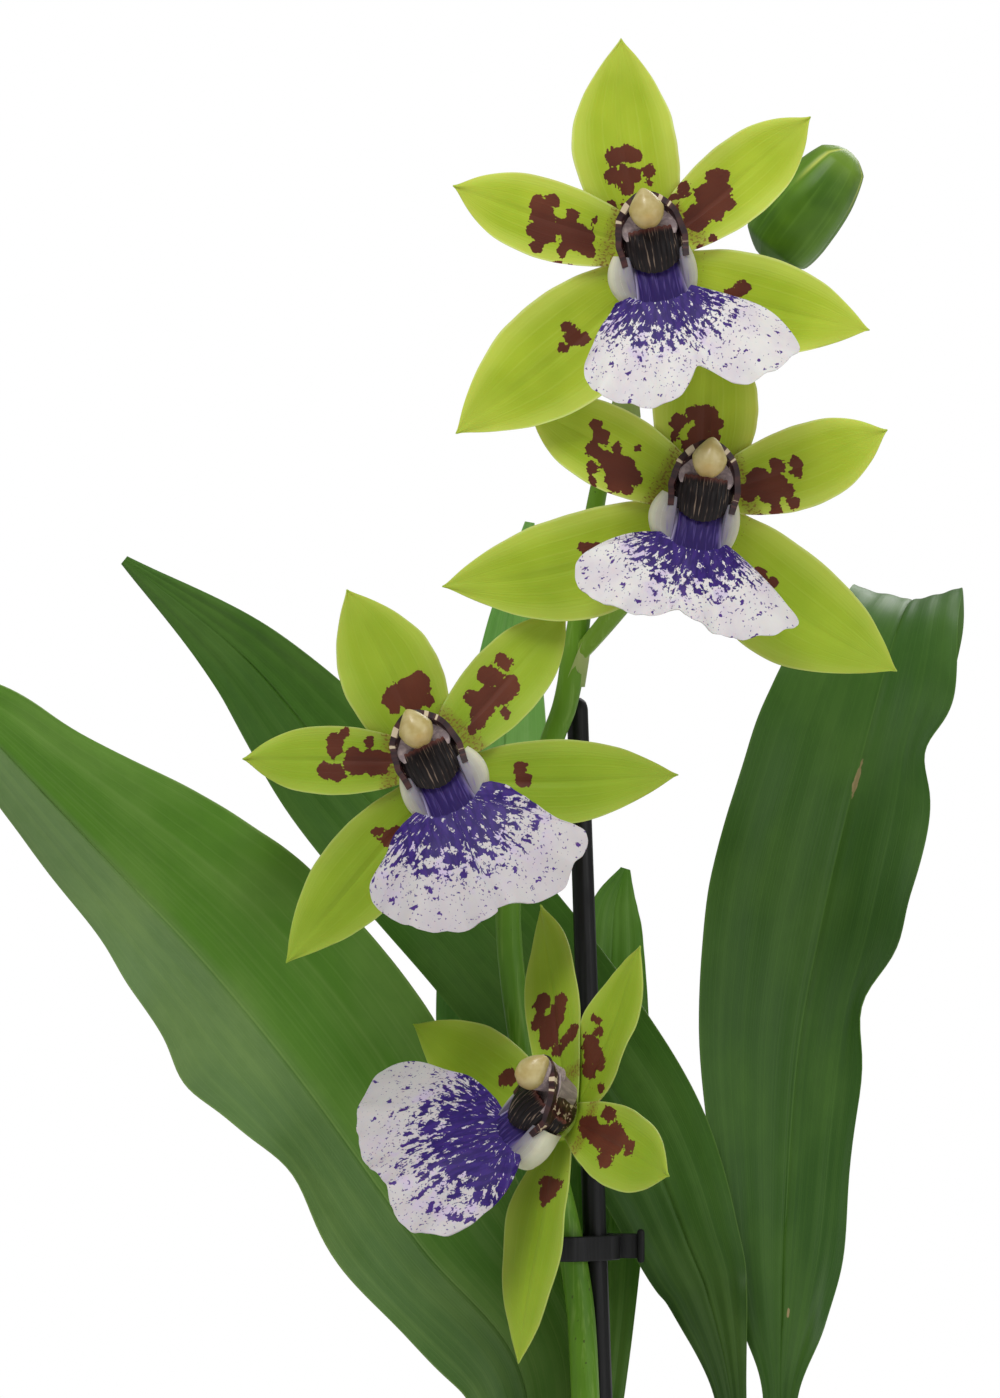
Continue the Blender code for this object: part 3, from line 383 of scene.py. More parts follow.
# Stage: places and sizes in metres, power in watts, the lens in millimetres.
# A light is (name, place, target, size, power).
FLOOR_RADIUS = 2.3
FLOOR_SIDES = 96
WORLD_LIGHT = 0.34
CAMERA_PLACE = (-0.0234, -1.5, 0.3308)
CAMERA_LENS = 214.6
LIGHTS = [
    ("key", (-0.9, -2.0, 2.6), (0.0, 0.0, 0.3), 1.4, 43.0),
    ("top", (-0.1, -0.4, 0.95), (0.0, 0.0, 0.4), 0.5, 1.1),
    ("fill", (1.6, -1.6, 0.9), (0.0, 0.0, 0.3), 1.4, 10.0),
    ("back", (0.9, 1.8, 1.7), (0.0, 0.0, 0.3), 1.4, 22.0),
]

# How finely each piece is divided
LEAF_ROWS = 150
LEAF_COLS = 72
TEPAL_ROWS = 60
TEPAL_COLS = 34
LIP_ROWS = 56
LIP_COLS = 140
CALLUS_ROWS = 26
CALLUS_COLS = 170
COLUMN_ROWS = 30
COLUMN_COLS = 90
CORE_SIDES = 40
NECK_SIDES = 36
NECK_STEPS = 24
CAP_STEPS = 28
STEM_SIDES = 28


class Shape:
    """Points and faces of one piece, with the maps and fields that its material reads."""

    def __init__(self):
        """Start with nothing in it."""
        self.points, self.faces = [], []
        self.grid_map, self.size_map = [], []
        self.fields = {}

    def add(self, points, faces, grid_map, size_map, **fields):
        """Add one body: maps hold a pair for each point, fields a number for each point."""
        start = len(self.points)
        self.points += points
        self.faces += [tuple(i + start for i in face) for face in faces]
        self.grid_map += grid_map
        self.size_map += size_map
        for name in set(self.fields) | set(fields):
            values = self.fields.setdefault(name, [0.0] * start)
            values.extend(fields.get(name, [0.0] * len(points)))

    def build(self, name, material, slot, *nodes, sharp=50.0):
        """Make the piece, let it ride on the part and stand for the named nodes."""
        mesh = bpy.data.meshes.new(name)
        mesh.from_pydata([Vector(p) * MM for p in self.points], [], self.faces)
        for label, pairs in (("grid", self.grid_map), ("size", self.size_map)):
            layer = mesh.uv_layers.new(name=label)
            flat = [c for loop in mesh.loops for c in pairs[loop.vertex_index]]
            layer.data.foreach_set("uv", flat)
        for label, values in self.fields.items():
            mesh.attributes.new(label, "FLOAT", "POINT").data.foreach_set("value", values)
        weld(mesh)
        mesh.shade_smooth()
        mesh.set_sharp_from_angle(angle=math.radians(sharp))
        mesh.materials.append(material)
        piece = bpy.data.objects.new(name, mesh)
        bpy.context.scene.collection.objects.link(piece)
        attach(piece, "root")
        if nodes:
            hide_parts(*nodes)
        return piece


def weld(mesh):
    """Join points that lie on each other, so that wrapped bodies are closed."""
    bm = bmesh.new()
    bm.from_mesh(mesh)
    bmesh.ops.remove_doubles(bm, verts=bm.verts, dist=1e-6)
    bmesh.ops.recalc_face_normals(bm, faces=bm.faces)
    bm.to_mesh(mesh)
    bm.free()


def sheet(shape, grid, sizes, thickness, fields=None, flip=False):
    """Add a closed thin sheet round a grid of points. thickness is a function of (s, v)."""
    rows, cols = len(grid), len(grid[0])
    front, back, grid_map, size_map = [], [], [], []
    for i in range(rows):
        for j in range(cols):
            up = grid[min(i + 1, rows - 1)][j] - grid[max(i - 1, 0)][j]
            side = grid[i][min(j + 1, cols - 1)] - grid[i][max(j - 1, 0)]
            normal = side.cross(up).normalized() * (-1.0 if flip else 1.0)
            s, v = i / (rows - 1), 2 * j / (cols - 1) - 1
            half = thickness(s, v) / 2
            front.append(grid[i][j] + normal * half)
            back.append(grid[i][j] - normal * half)
            grid_map.append((j / (cols - 1), s))
            size_map.append(sizes[i][j])
    count = rows * cols
    faces = []
    for i in range(rows - 1):
        for j in range(cols - 1):
            a, b = i * cols + j, i * cols + j + 1
            c, d = b + cols, a + cols
            faces += [(a, b, c, d), (count + d, count + c, count + b, count + a)]
    rim = list(range(cols))
    rim += [i * cols + cols - 1 for i in range(1, rows)]
    rim += [(rows - 1) * cols + j for j in range(cols - 2, -1, -1)]
    rim += [i * cols for i in range(rows - 2, 0, -1)]
    for k, a in enumerate(rim):
        b = rim[(k + 1) % len(rim)]
        faces.append((b, a, count + a, count + b))
    both = {name: [x for line in values for x in line] * 2 for name, values in (fields or {}).items()}
    both["under"] = [0.0] * count + [1.0] * count
    shape.add(front + back, faces, grid_map * 2, size_map * 2, **both)


def loft(shape, rings, around=1.0, along=1.0, offset=0.0, **fields):
    """Add a closed body through rings. around and along are its measures in centimetres."""
    size = len(rings[0])
    points, faces, grid_map, size_map = [], [], [], []
    for k, ring in enumerate(rings):
        t = k / (len(rings) - 1)
        for j in range(size + 1):
            points.append(ring[j % size])
            grid_map.append((j / size, t))
            size_map.append((j / size * around + offset, t * along))
    wide = size + 1
    for k in range(len(rings) - 1):
        for j in range(size):
            a = k * wide + j
            faces.append((a, a + 1, a + 1 + wide, a + wide))
    faces.append(tuple(range(size - 1, -1, -1)))
    last = (len(rings) - 1) * wide
    faces.append(tuple(range(last, last + size)))
    spread = {}
    for name, value in fields.items():
        steps = value if isinstance(value, list) else [value] * len(rings)
        spread[name] = [steps[k] for k in range(len(rings)) for j in range(wide)]
    shape.add(points, faces, grid_map, size_map, **spread)


def patch(rows, cols, at):
    """Points and flat measures of a grid. at(t, w) gives both, with t and w from 0 to 1."""
    made = [[at(i / rows, j / cols) for j in range(cols + 1)] for i in range(rows + 1)]
    grid = [[spot for spot, size in line] for line in made]
    sizes = [[size for spot, size in line] for line in made]
    return grid, sizes


def circle(count):
    """The angles of a number of points equally spaced round a circle."""
    return [2 * math.pi * j / count for j in range(count)]


def smooth(values, u):
    """A smooth curve through equally spaced values, at u from 0 to 1."""
    last = len(values) - 1
    k = min(int(u * last), last - 1)
    t = u * last - k
    a, b = values[k], values[k + 1]
    before = values[k - 1] if k > 0 else a + (a - b)
    after = values[k + 2] if k + 2 <= last else b + (b - a)
    slope_a = (b - before) * 0.5
    slope_b = (after - a) * 0.5
    t2, t3 = t * t, t * t * t
    return (a * (2 * t3 - 3 * t2 + 1) + slope_a * (t3 - 2 * t2 + t)
            + b * (3 * t2 - 2 * t3) + slope_b * (t3 - t2))


def side_axes(tangent):
    """Two directions square to a tube's own and to each other."""
    across = Vector((1, 0, 0)) - tangent * tangent.x
    if across.length < 0.2:
        across = Vector((0, 1, 0)) - tangent * tangent.y
    across.normalize()
    return across, tangent.cross(across)


def tube_rings(centres, radii, sides, ribs=0, depth=0.0):
    """Rings of a round tube along points in space, with ribs down its length."""
    rings = []
    for k, centre in enumerate(centres):
        ahead = centres[min(k + 1, len(centres) - 1)]
        behind = centres[max(k - 1, 0)]
        across, other = side_axes((ahead - behind).normalized())
        ring = []
        for j in range(sides):
            a = 2 * math.pi * j / sides + math.pi / 2
            r = radii[k] * (1 + depth * math.cos(ribs * a))
            ring.append(centre + (across * math.cos(a) + other * math.sin(a)) * r)
        rings.append(ring)
    return rings


def turned_rings(profile, sides, centre=(0.0, 0.0)):
    """Rings of a solid of revolution from (radius, height), bottom to top."""
    rings = []
    for radius, height in profile:
        rings.append([Vector((centre[0] + radius * math.cos(a), centre[1] + radius * math.sin(a), height))
                      for a in (2 * math.pi * (j / sides) + math.pi / 2 for j in range(sides))])
    return rings


def curve_between(start, lead, end, arrive, steps):
    """Points of a cubic curve with its two end directions."""
    points = []
    for k in range(steps + 1):
        t = k / steps
        w = 1 - t
        points.append(start * w ** 3 + (start + lead) * (3 * w * w * t)
                      + (end - arrive) * (3 * w * t * t) + end * t ** 3)
    return points


def corner(a, b, c, cut, steps=4):
    """The curve that rounds off corner b, between its neighbours a and c."""
    start, end = b + (a - b).normalized() * cut, b + (c - b).normalized() * cut
    made = []
    for k in range(steps + 1):
        t = k / steps
        point = start * (1 - t) ** 2 + b * (2 * t * (1 - t)) + end * t * t
        made.append((point.x, point.y))
    return made


def rounded(profile, radius):
    """A profile of (radius, height) with its inner corners rounded."""
    made = [profile[0]]
    for before, here, after in zip(profile, profile[1:], profile[2:]):
        a, b, c = Vector(before), Vector(here), Vector(after)
        made += corner(a, b, c, min(radius, (a - b).length * 0.45, (c - b).length * 0.45))
    return made + [profile[-1]]


def srgb(red, green, blue):
    """A colour as it is seen, 0 to 255, turned into the renderer's own values."""
    channels = []
    for value in (red, green, blue):
        c = value / 255
        channels.append(c / 12.92 if c <= 0.04045 else ((c + 0.055) / 1.055) ** 2.4)
    return (*channels, 1.0)


class Look:
    """One material's nodes, with a short call for each kind of node."""

    def __init__(self, name, **sockets):
        """Start a material with its shader, and set the sockets that are named."""
        self.material = bpy.data.materials.new(name)
        self.material.use_nodes = True
        self.tree = self.material.node_tree
        self.shader = self.tree.nodes["Principled BSDF"]
        for label, value in sockets.items():
            self.shader.inputs[label.replace("_", " ").title().replace("Ior", "IOR")].default_value = value

    def put(self, socket, value):
        """Link a socket to another node's output, or set it to a value."""
        if isinstance(value, bpy.types.NodeSocket):
            self.tree.links.new(value, socket)
        else:
            socket.default_value = value

    def node(self, kind, inputs, **settings):
        """Add a node with its settings and inputs."""
        made = self.tree.nodes.new(kind)
        for label, value in settings.items():
            setattr(made, label, value)
        for label, value in inputs.items():
            self.put(made.inputs[label], value)
        return made

    def uv(self, label):
        """One of the piece's two maps: grid from 0 to 1, size in centimetres."""
        return self.node("ShaderNodeUVMap", {}, uv_map=label).outputs["UV"]

    def place(self):
        """The point's place in the part's frame, in metres."""
        return self.node("ShaderNodeTexCoord", {}).outputs["Object"]

    def field(self, label):
        """A number that each point of the piece carries, 0 where it has none."""
        return self.node("ShaderNodeAttribute", {}, attribute_name=label).outputs["Fac"]

    def split(self, vector):
        """The first two parts of a vector."""
        made = self.node("ShaderNodeSeparateXYZ", {"Vector": vector})
        return made.outputs["X"], made.outputs["Y"]

    def height(self):
        """How high a point lies above the floor, in metres."""
        return self.node("ShaderNodeSeparateXYZ", {"Vector": self.place()}).outputs["Z"]

    def stretch(self, vector, scale):
        """Coordinates scaled by a factor for each axis."""
        return self.node("ShaderNodeMapping", {"Vector": vector, "Scale": scale}).outputs["Vector"]

    def noise(self, vector, scale, detail=3.0, roughness=0.5, distortion=0.0):
        """Soft noise, from 0 to 1 and mostly near the middle."""
        return self.node("ShaderNodeTexNoise", {
            "Vector": vector, "Scale": scale, "Detail": detail, "Roughness": roughness,
            "Distortion": distortion}).outputs["Fac"]

    def maths(self, operation, first, second=0.0):
        """One sum on one or two numbers."""
        return self.node("ShaderNodeMath", {0: first, 1: second}, operation=operation).outputs[0]

    def span(self, value, low, high, start=0.0, end=1.0):
        """Ease from start to end while value goes from low to high."""
        return self.node("ShaderNodeMapRange", {
            "Value": value, "From Min": low, "From Max": high, "To Min": start, "To Max": end},
            interpolation_type="SMOOTHSTEP").outputs["Result"]

    def slope(self, value, low, high, start, end):
        """A straight line from start to end while value goes from low to high."""
        return self.node("ShaderNodeMapRange", {
            "Value": value, "From Min": low, "From Max": high,
            "To Min": start, "To Max": end}).outputs["Result"]

    def mix(self, factor, first, second):
        """The first colour, going over to the second as factor goes from 0 to 1."""
        made = self.tree.nodes.new("ShaderNodeMix")
        made.data_type = "RGBA"
        self.put(made.inputs[0], factor)
        self.put(made.inputs[6], first)
        self.put(made.inputs[7], second)
        return made.outputs[2]

    def relief(self, height, depth, strength):
        """Bumps of a height map, depth in millimetres."""
        inputs = {"Height": height, "Distance": depth * MM, "Strength": strength}
        return self.node("ShaderNodeBump", inputs).outputs["Normal"]

    def finish(self, colour, roughness, normal=None):
        """Set the shader's colour, roughness and bumps, and give the material."""
        self.put(self.shader.inputs["Base Color"], colour)
        self.put(self.shader.inputs["Roughness"], roughness)
        if normal is not None:
            self.put(self.shader.inputs["Normal"], normal)
        return self.material


# Materials

def leaf_look(name, lower, upper, pale, shade):
    """A leaf in two greens, one for each side of its midrib, with painted sheen making one half greyer than
    the other, and painted shade deepening it towards its foot.
    """
    look = Look(name, specular_ior_level=0.22)
    grid, size = look.uv("grid"), look.uv("size")
    across, along = look.split(grid)
    from_mid = look.maths("ABSOLUTE", look.maths("SUBTRACT", across, 0.5))
    cloud = look.noise(look.stretch(size, (0.6, 0.3, 1.0)), 1.0, 2.0)
    mottle = look.noise(look.stretch(size, (5.0, 2.2, 1.0)), 1.0, 3.0)
    veins = look.noise(look.stretch(grid, (120.0, 0.8, 1.0)), 1.0, 2.0)
    bands = look.noise(look.stretch(grid, (16.0, 0.7, 1.0)), 1.0, 1.0)
    # painted sheen: the two halves differ in green where light falls on the folded blade
    green = look.mix(look.span(across, 0.45, 0.55), lower, upper)
    # painted shade: the green deepens towards the leaf's foot
    green = look.mix(look.span(along, 0.75, 0.25, 0.0, 0.65), green, shade)
    green = look.mix(look.span(cloud, 0.42, 0.62, 0.0, 0.2), green, pale)
    green = look.mix(look.span(bands, 0.46, 0.62, 0.0, 0.1), green, pale)
    green = look.mix(look.span(mottle, 0.45, 0.62, 0.0, 0.08), green, shade)
    green = look.mix(look.span(veins, 0.5, 0.66, 0.0, 0.1), green, pale)
    green = look.mix(look.span(from_mid, 0.009, 0.001, 0.0, 0.3), green, pale)
    green = look.mix(look.span(from_mid, 0.488, 0.499, 0.0, 0.4), green, pale)
    green = look.mix(look.maths("MULTIPLY", look.field("under"), 0.4), green, pale)
    scar = look.maths("ADD", look.field("scar"), look.maths("SUBTRACT", look.noise(size, 5.0, 3.0), 0.5))
    colour = look.mix(look.span(scar, 0.36, 0.5, 0.0, 0.85), green, srgb(158, 136, 96))
    return look.finish(colour, look.span(cloud, 0.3, 0.7, 0.42, 0.52), look.relief(veins, 0.12, 0.35))


def tepal_look():
    """Lime sepals and petals: paler margins, fine veins, jagged red-brown blotches, and painted shade lower
    down.
    """
    look = Look("tepal_lime", specular_ior_level=0.18, subsurface_weight=0.12, subsurface_scale=0.002)
    grid, size = look.uv("grid"), look.uv("size")
    across, along = look.split(grid)
    from_mid = look.maths("ABSOLUTE", look.maths("SUBTRACT", across, 0.5))
    cloud = look.noise(size, 0.7, 2.0)
    veins = look.noise(look.stretch(grid, (40.0, 1.2, 1.0)), 1.0, 2.0)
    green = look.mix(look.span(cloud, 0.3, 0.7), srgb(152, 174, 38), srgb(170, 190, 50))
    green = look.mix(look.span(from_mid, 0.25, 0.49, 0.0, 0.7), green, srgb(192, 208, 88))
    green = look.mix(look.span(from_mid, 0.47, 0.495, 0.0, 0.6), green, srgb(212, 222, 140))
    green = look.mix(look.span(along, 0.7, 1.0, 0.0, 0.4), green, srgb(190, 204, 84))
    green = look.mix(look.span(veins, 0.5, 0.68, 0.0, 0.14), green, srgb(196, 212, 96))
    green = look.mix(look.maths("MULTIPLY", look.field("under"), 0.4), green, srgb(170, 190, 96))
    # painted shade: darker lower down, on the lower blooms that get less light
    green = look.mix(look.span(look.height(), 0.385, 0.32, 0.0, 0.5), green, srgb(112, 146, 34))
    green = look.mix(look.span(look.field("freckle"), -0.02, 0.11, 0.0, 0.45), green, srgb(124, 112, 40))
    jag = look.noise(size, 7.0, 2.0, 0.55)
    streak = look.noise(look.stretch(size, (24.0, 7.0, 1.0)), 1.0, 1.0)
    edge = look.maths("ADD", look.maths("MULTIPLY", look.maths("SUBTRACT", jag, 0.5), 1.9),
                      look.maths("MULTIPLY", look.maths("SUBTRACT", streak, 0.5), 0.7))
    stain = look.span(look.maths("ADD", look.field("stain"), edge), -0.25, -0.15)
    brown = look.mix(look.span(cloud, 0.35, 0.65), srgb(84, 40, 28), srgb(102, 53, 35))
    freckle = look.maths("ADD", look.field("freckle"), look.maths("SUBTRACT", look.noise(
        look.stretch(size, (26.0, 15.0, 1.0)), 1.0, 2.0), 0.62))
    green = look.mix(look.span(freckle, 0.0, 0.05, 0.0, 0.75), green, srgb(122, 88, 40))
    colour = look.mix(stain, green, brown)
    heights = look.maths("ADD", veins, look.maths("MULTIPLY", stain, 0.25))
    return look.finish(colour, look.span(cloud, 0.3, 0.7, 0.45, 0.56), look.relief(heights, 0.18, 0.4))


def lip_look():
    """White lip with violet that breaks from a solid throat into streaks and then spots, with painted shade
    lower down and painted highlight streaks on the throat.
    """
    look = Look("lip_violet", specular_ior_level=0.25, subsurface_weight=0.12, subsurface_scale=0.002)
    grid, size = look.uv("grid"), look.uv("size")
    across = look.split(grid)[0]
    far = look.field("far")
    from_mid = look.maths("ABSOLUTE", look.maths("SUBTRACT", across, 0.5))
    cloud = look.noise(size, 1.6, 3.0)
    white = look.mix(look.span(cloud, 0.35, 0.7), srgb(218, 215, 211), srgb(208, 201, 206))
    # painted shade: the white darker lower down, on the lower blooms that get less light
    white = look.mix(look.span(look.height(), 0.36, 0.3, 0.0, 0.5), white, srgb(168, 162, 166))
    smudge = look.maths("MULTIPLY", look.span(look.noise(size, 2.6, 2.0), 0.5, 0.64, 0.0, 0.55),
                        look.span(far, 0.9, 0.55))
    white = look.mix(smudge, white, srgb(190, 168, 214))
    fan = look.noise(look.node("ShaderNodeCombineXYZ", {
        "X": look.maths("MULTIPLY", across, 42.0), "Y": look.maths("MULTIPLY", far, 13.0)}).outputs[0],
        1.0, 3.0, 0.6)
    veins = look.span(look.maths("SUBTRACT", fan, look.slope(far, 0.34, 0.76, 0.37, 0.62)), 0.0, 0.03)
    spot = look.noise(look.stretch(size, (19.0, 15.0, 1.0)), 1.0, 1.0, 0.5)
    few = look.slope(far, 0.4, 1.0, 0.56, 0.7)
    spots = look.span(look.maths("SUBTRACT", spot, few), 0.0, 0.03, 0.0, 0.85)
    marks = look.maths("MAXIMUM", veins, spots)
    deep = look.noise(look.stretch(size, (9.0, 3.0, 1.0)), 1.0, 2.0)
    violet = look.mix(look.span(deep, 0.4, 0.62), srgb(36, 12, 92), srgb(52, 26, 112))
    violet = look.mix(look.span(far, 0.45, 0.9, 0.0, 0.5), violet, srgb(92, 58, 140))
    colour = look.mix(marks, white, violet)
    streak = look.noise(look.stretch(size, (19.0, 1.4, 1.0)), 1.0, 2.0)
    # painted highlight: paler streaks on the dark violet throat, standing in for light on its ribs
    throat = look.mix(look.span(streak, 0.52, 0.66, 0.0, 0.35), srgb(36, 18, 84), srgb(112, 94, 166))
    throat = look.mix(look.span(from_mid, 0.38, 0.5, 0.0, 0.8), throat, srgb(196, 184, 214))
    colour = look.mix(look.field("throat"), colour, throat)
    lobe = look.mix(look.span(cloud, 0.35, 0.7), srgb(212, 210, 184), srgb(196, 194, 168))
    tinge = look.mix(look.span(streak, 0.5, 0.66, 0.0, 0.7), lobe, srgb(168, 150, 196))
    lobe = look.mix(look.span(across, 0.0, 0.3, 1.0, 0.0), lobe, tinge)
    colour = look.mix(look.field("lobe"), colour, lobe)
    ribs = look.noise(look.stretch(grid, (50.0, 1.5, 1.0)), 1.0, 2.0)
    return look.finish(colour, look.span(cloud, 0.3, 0.7, 0.48, 0.6), look.relief(ribs, 0.2, 0.4))


def callus_look():
    """The dark ridged collar with fine pale streaks and a reddish upper edge."""
    look = Look("callus_dark", specular_ior_level=0.25)
    grid = look.uv("grid")
    along = look.split(grid)[1]
    streak = look.noise(look.stretch(grid, (84.0, 1.4, 1.0)), 1.0, 2.0, 0.6)
    dark = look.mix(look.span(streak, 0.4, 0.6), srgb(9, 4, 6), srgb(27, 15, 14))
    colour = look.mix(look.span(streak, 0.58, 0.66, 0.0, 0.7), dark, srgb(138, 118, 100))
    colour = look.mix(look.span(along, 0.86, 1.0, 0.0, 0.75), colour, srgb(112, 62, 52))
    return look.finish(colour, 0.42, look.relief(streak, 0.25, 0.6))


def column_look():
    """The column's dark mottled back, cream breaks in it and a grey-lilac inner face."""
    look = Look("column_mottled", specular_ior_level=0.4)
    size = look.uv("size")
    blot = look.noise(size, 7.5, 2.0, 0.6, 0.5)
    dark = look.mix(look.span(blot, 0.4, 0.6), srgb(40, 20, 24), srgb(74, 40, 36))
    back = look.mix(look.span(blot, 0.585, 0.61), dark, srgb(204, 186, 156))
    inner = look.mix(look.span(blot, 0.4, 0.65), srgb(136, 120, 122), srgb(170, 152, 148))
    colour = look.mix(look.field("inner"), back, inner)
    return look.finish(colour, 0.42, look.relief(blot, 0.15, 0.3))


def cap_look():
    """The waxy cream cap, deeper at its foot."""
    look = Look("cap_wax", specular_ior_level=0.5, coat_weight=0.15)
    cloud = look.noise(look.place(), 420.0, 3.0)
    cream = look.mix(look.span(cloud, 0.35, 0.65), srgb(172, 152, 92), srgb(190, 174, 122))
    colour = look.mix(look.field("foot"), cream, srgb(176, 148, 84))
    return look.finish(colour, 0.36, look.relief(cloud, 0.15, 0.5))


def stem_look():
    """Green stem, paler towards the blooms, with fine grooves and a few dark specks."""
    look = Look("stem_skin", specular_ior_level=0.22)
    place = look.place()
    groove = look.noise(look.stretch(place, (1500.0, 1500.0, 26.0)), 1.0, 2.0)
    cloud = look.noise(look.stretch(place, (60.0, 60.0, 30.0)), 1.0, 3.0)
    green = look.mix(look.span(cloud, 0.35, 0.65), srgb(76, 120, 26), srgb(102, 148, 40))
    green = look.mix(look.field("fresh"), green, srgb(140, 172, 62))
    green = look.mix(look.span(groove, 0.5, 0.75, 0.0, 0.35), green, srgb(150, 180, 90))
    speck = look.noise(place, 900.0, 1.0)
    green = look.mix(look.span(speck, 0.72, 0.76, 0.0, 0.7), green, srgb(60, 62, 30))
    colour = look.mix(look.field("papery"), green, srgb(186, 186, 134))
    return look.finish(colour, 0.42, look.relief(groove, 0.2, 0.5))


def bud_look():
    """The closed bud: deep green, a yellow seam near the tip and a dull smudge."""
    look = Look("bud_skin", specular_ior_level=0.25)
    grid, size = look.uv("grid"), look.uv("size")
    along = look.split(grid)[1]
    cloud = look.noise(size, 0.9, 2.0)
    veins = look.noise(look.stretch(grid, (44.0, 1.2, 1.0)), 1.0, 2.0)
    green = look.mix(look.span(cloud, 0.35, 0.65), srgb(62, 98, 18), srgb(88, 126, 30))
    green = look.mix(look.span(veins, 0.5, 0.75, 0.0, 0.2), green, srgb(120, 160, 64))
    green = look.mix(look.span(along, 0.74, 1.0, 0.0, 0.45), green, srgb(138, 168, 62))
    green = look.mix(look.maths("MULTIPLY", look.field("seam"), look.span(along, 0.55, 0.85)),
                     green, srgb(188, 196, 92))
    smudge = look.noise(size, 1.3, 2.0)
    green = look.mix(look.span(smudge, 0.63, 0.76, 0.0, 0.5), green, srgb(54, 74, 30))
    return look.finish(green, 0.42, look.relief(veins, 0.15, 0.4))


def bulb_look():
    """Bulbs: cloudy green with brown scars, their sheaths dry and fibrous."""
    look = Look("bulb_skin", specular_ior_level=0.4)
    place = look.place()
    cloud = look.noise(look.stretch(place, (90.0, 90.0, 40.0)), 1.0, 4.0)
    green = look.mix(look.span(cloud, 0.35, 0.65), srgb(86, 118, 42), srgb(128, 152, 66))
    scar = look.noise(place, 260.0, 4.0, 0.6)
    green = look.mix(look.span(scar, 0.62, 0.7, 0.0, 0.75), green, srgb(104, 78, 46))
    fibre = look.noise(look.stretch(place, (1300.0, 1300.0, 30.0)), 1.0, 3.0)
    dry = look.mix(look.span(fibre, 0.4, 0.65), srgb(126, 92, 56), srgb(192, 164, 116))
    colour = look.mix(look.field("papery"), green, dry)
    return look.finish(colour, look.span(fibre, 0.3, 0.7, 0.45, 0.65), look.relief(fibre, 0.25, 0.5))


def bark_look():
    """Bark chips in several browns, with grain along each chip and pale broken edges."""
    look = Look("bark_pieces", specular_ior_level=0.25)
    size = look.uv("size")
    place = look.place()
    tone = look.field("tone")
    grain = look.noise(look.stretch(size, (22.0, 4.0, 1.0)), 1.0, 4.0, 0.6)
    crumb = look.noise(place, 520.0, 5.0, 0.65)
    brown = look.mix(tone, srgb(74, 46, 30), srgb(138, 92, 58))
    brown = look.mix(look.span(grain, 0.42, 0.66), srgb(52, 32, 22), brown)
    colour = look.mix(look.span(crumb, 0.56, 0.72, 0.0, 0.6), brown, srgb(172, 128, 86))
    heights = look.maths("ADD", grain, look.maths("MULTIPLY", crumb, 0.7))
    return look.finish(colour, look.span(crumb, 0.3, 0.7, 0.75, 0.95), look.relief(heights, 0.8, 0.8))


def pot_look():
    """Matte taupe nursery plastic: faint flow lines, scuffs and dust towards the foot."""
    look = Look("pot_plastic_skin", specular_ior_level=0.4)
    place = look.place()
    cloud = look.noise(place, 26.0, 4.0)
    scuff = look.noise(look.stretch(place, (160.0, 160.0, 900.0)), 1.0, 3.0, 0.6)
    body = look.mix(look.span(cloud, 0.35, 0.65), srgb(104, 86, 78), srgb(120, 101, 91))
    body = look.mix(look.span(scuff, 0.6, 0.75, 0.0, 0.3), body, srgb(150, 134, 122))
    body = look.mix(look.span(look.height(), 0.03, 0.0, 0.0, 0.4), body, srgb(146, 128, 110))
    grain = look.noise(place, 2400.0, 2.0)
    return look.finish(body, look.span(scuff, 0.35, 0.7, 0.46, 0.62), look.relief(grain, 0.12, 0.35))


def black_look(name, low, high):
    """Black plastic with faint drawn lines and dull patches."""
    look = Look(name, specular_ior_level=0.3)
    place = look.place()
    drawn = look.noise(look.stretch(place, (1400.0, 1400.0, 20.0)), 1.0, 3.0)
    cloud = look.noise(place, 90.0, 3.0)
    colour = look.mix(look.span(drawn, 0.4, 0.7), low, high)
    return look.finish(colour, look.span(cloud, 0.35, 0.65, 0.38, 0.55), look.relief(drawn, 0.15, 0.5))


def floor_look():
    """Pale paper, very slightly uneven."""
    look = Look("floor_paper")
    cloud = look.noise(look.place(), 3.0, 2.0)
    return look.finish(look.mix(cloud, srgb(240, 240, 240), srgb(246, 246, 246)), 0.9)


# Pot and bark

def pot_radius(height):
    """The pot's outer radius at a height."""
    return POT_FOOT_RADIUS + (POT_TOP_RADIUS - POT_FOOT_RADIUS) * height / POT_HEIGHT


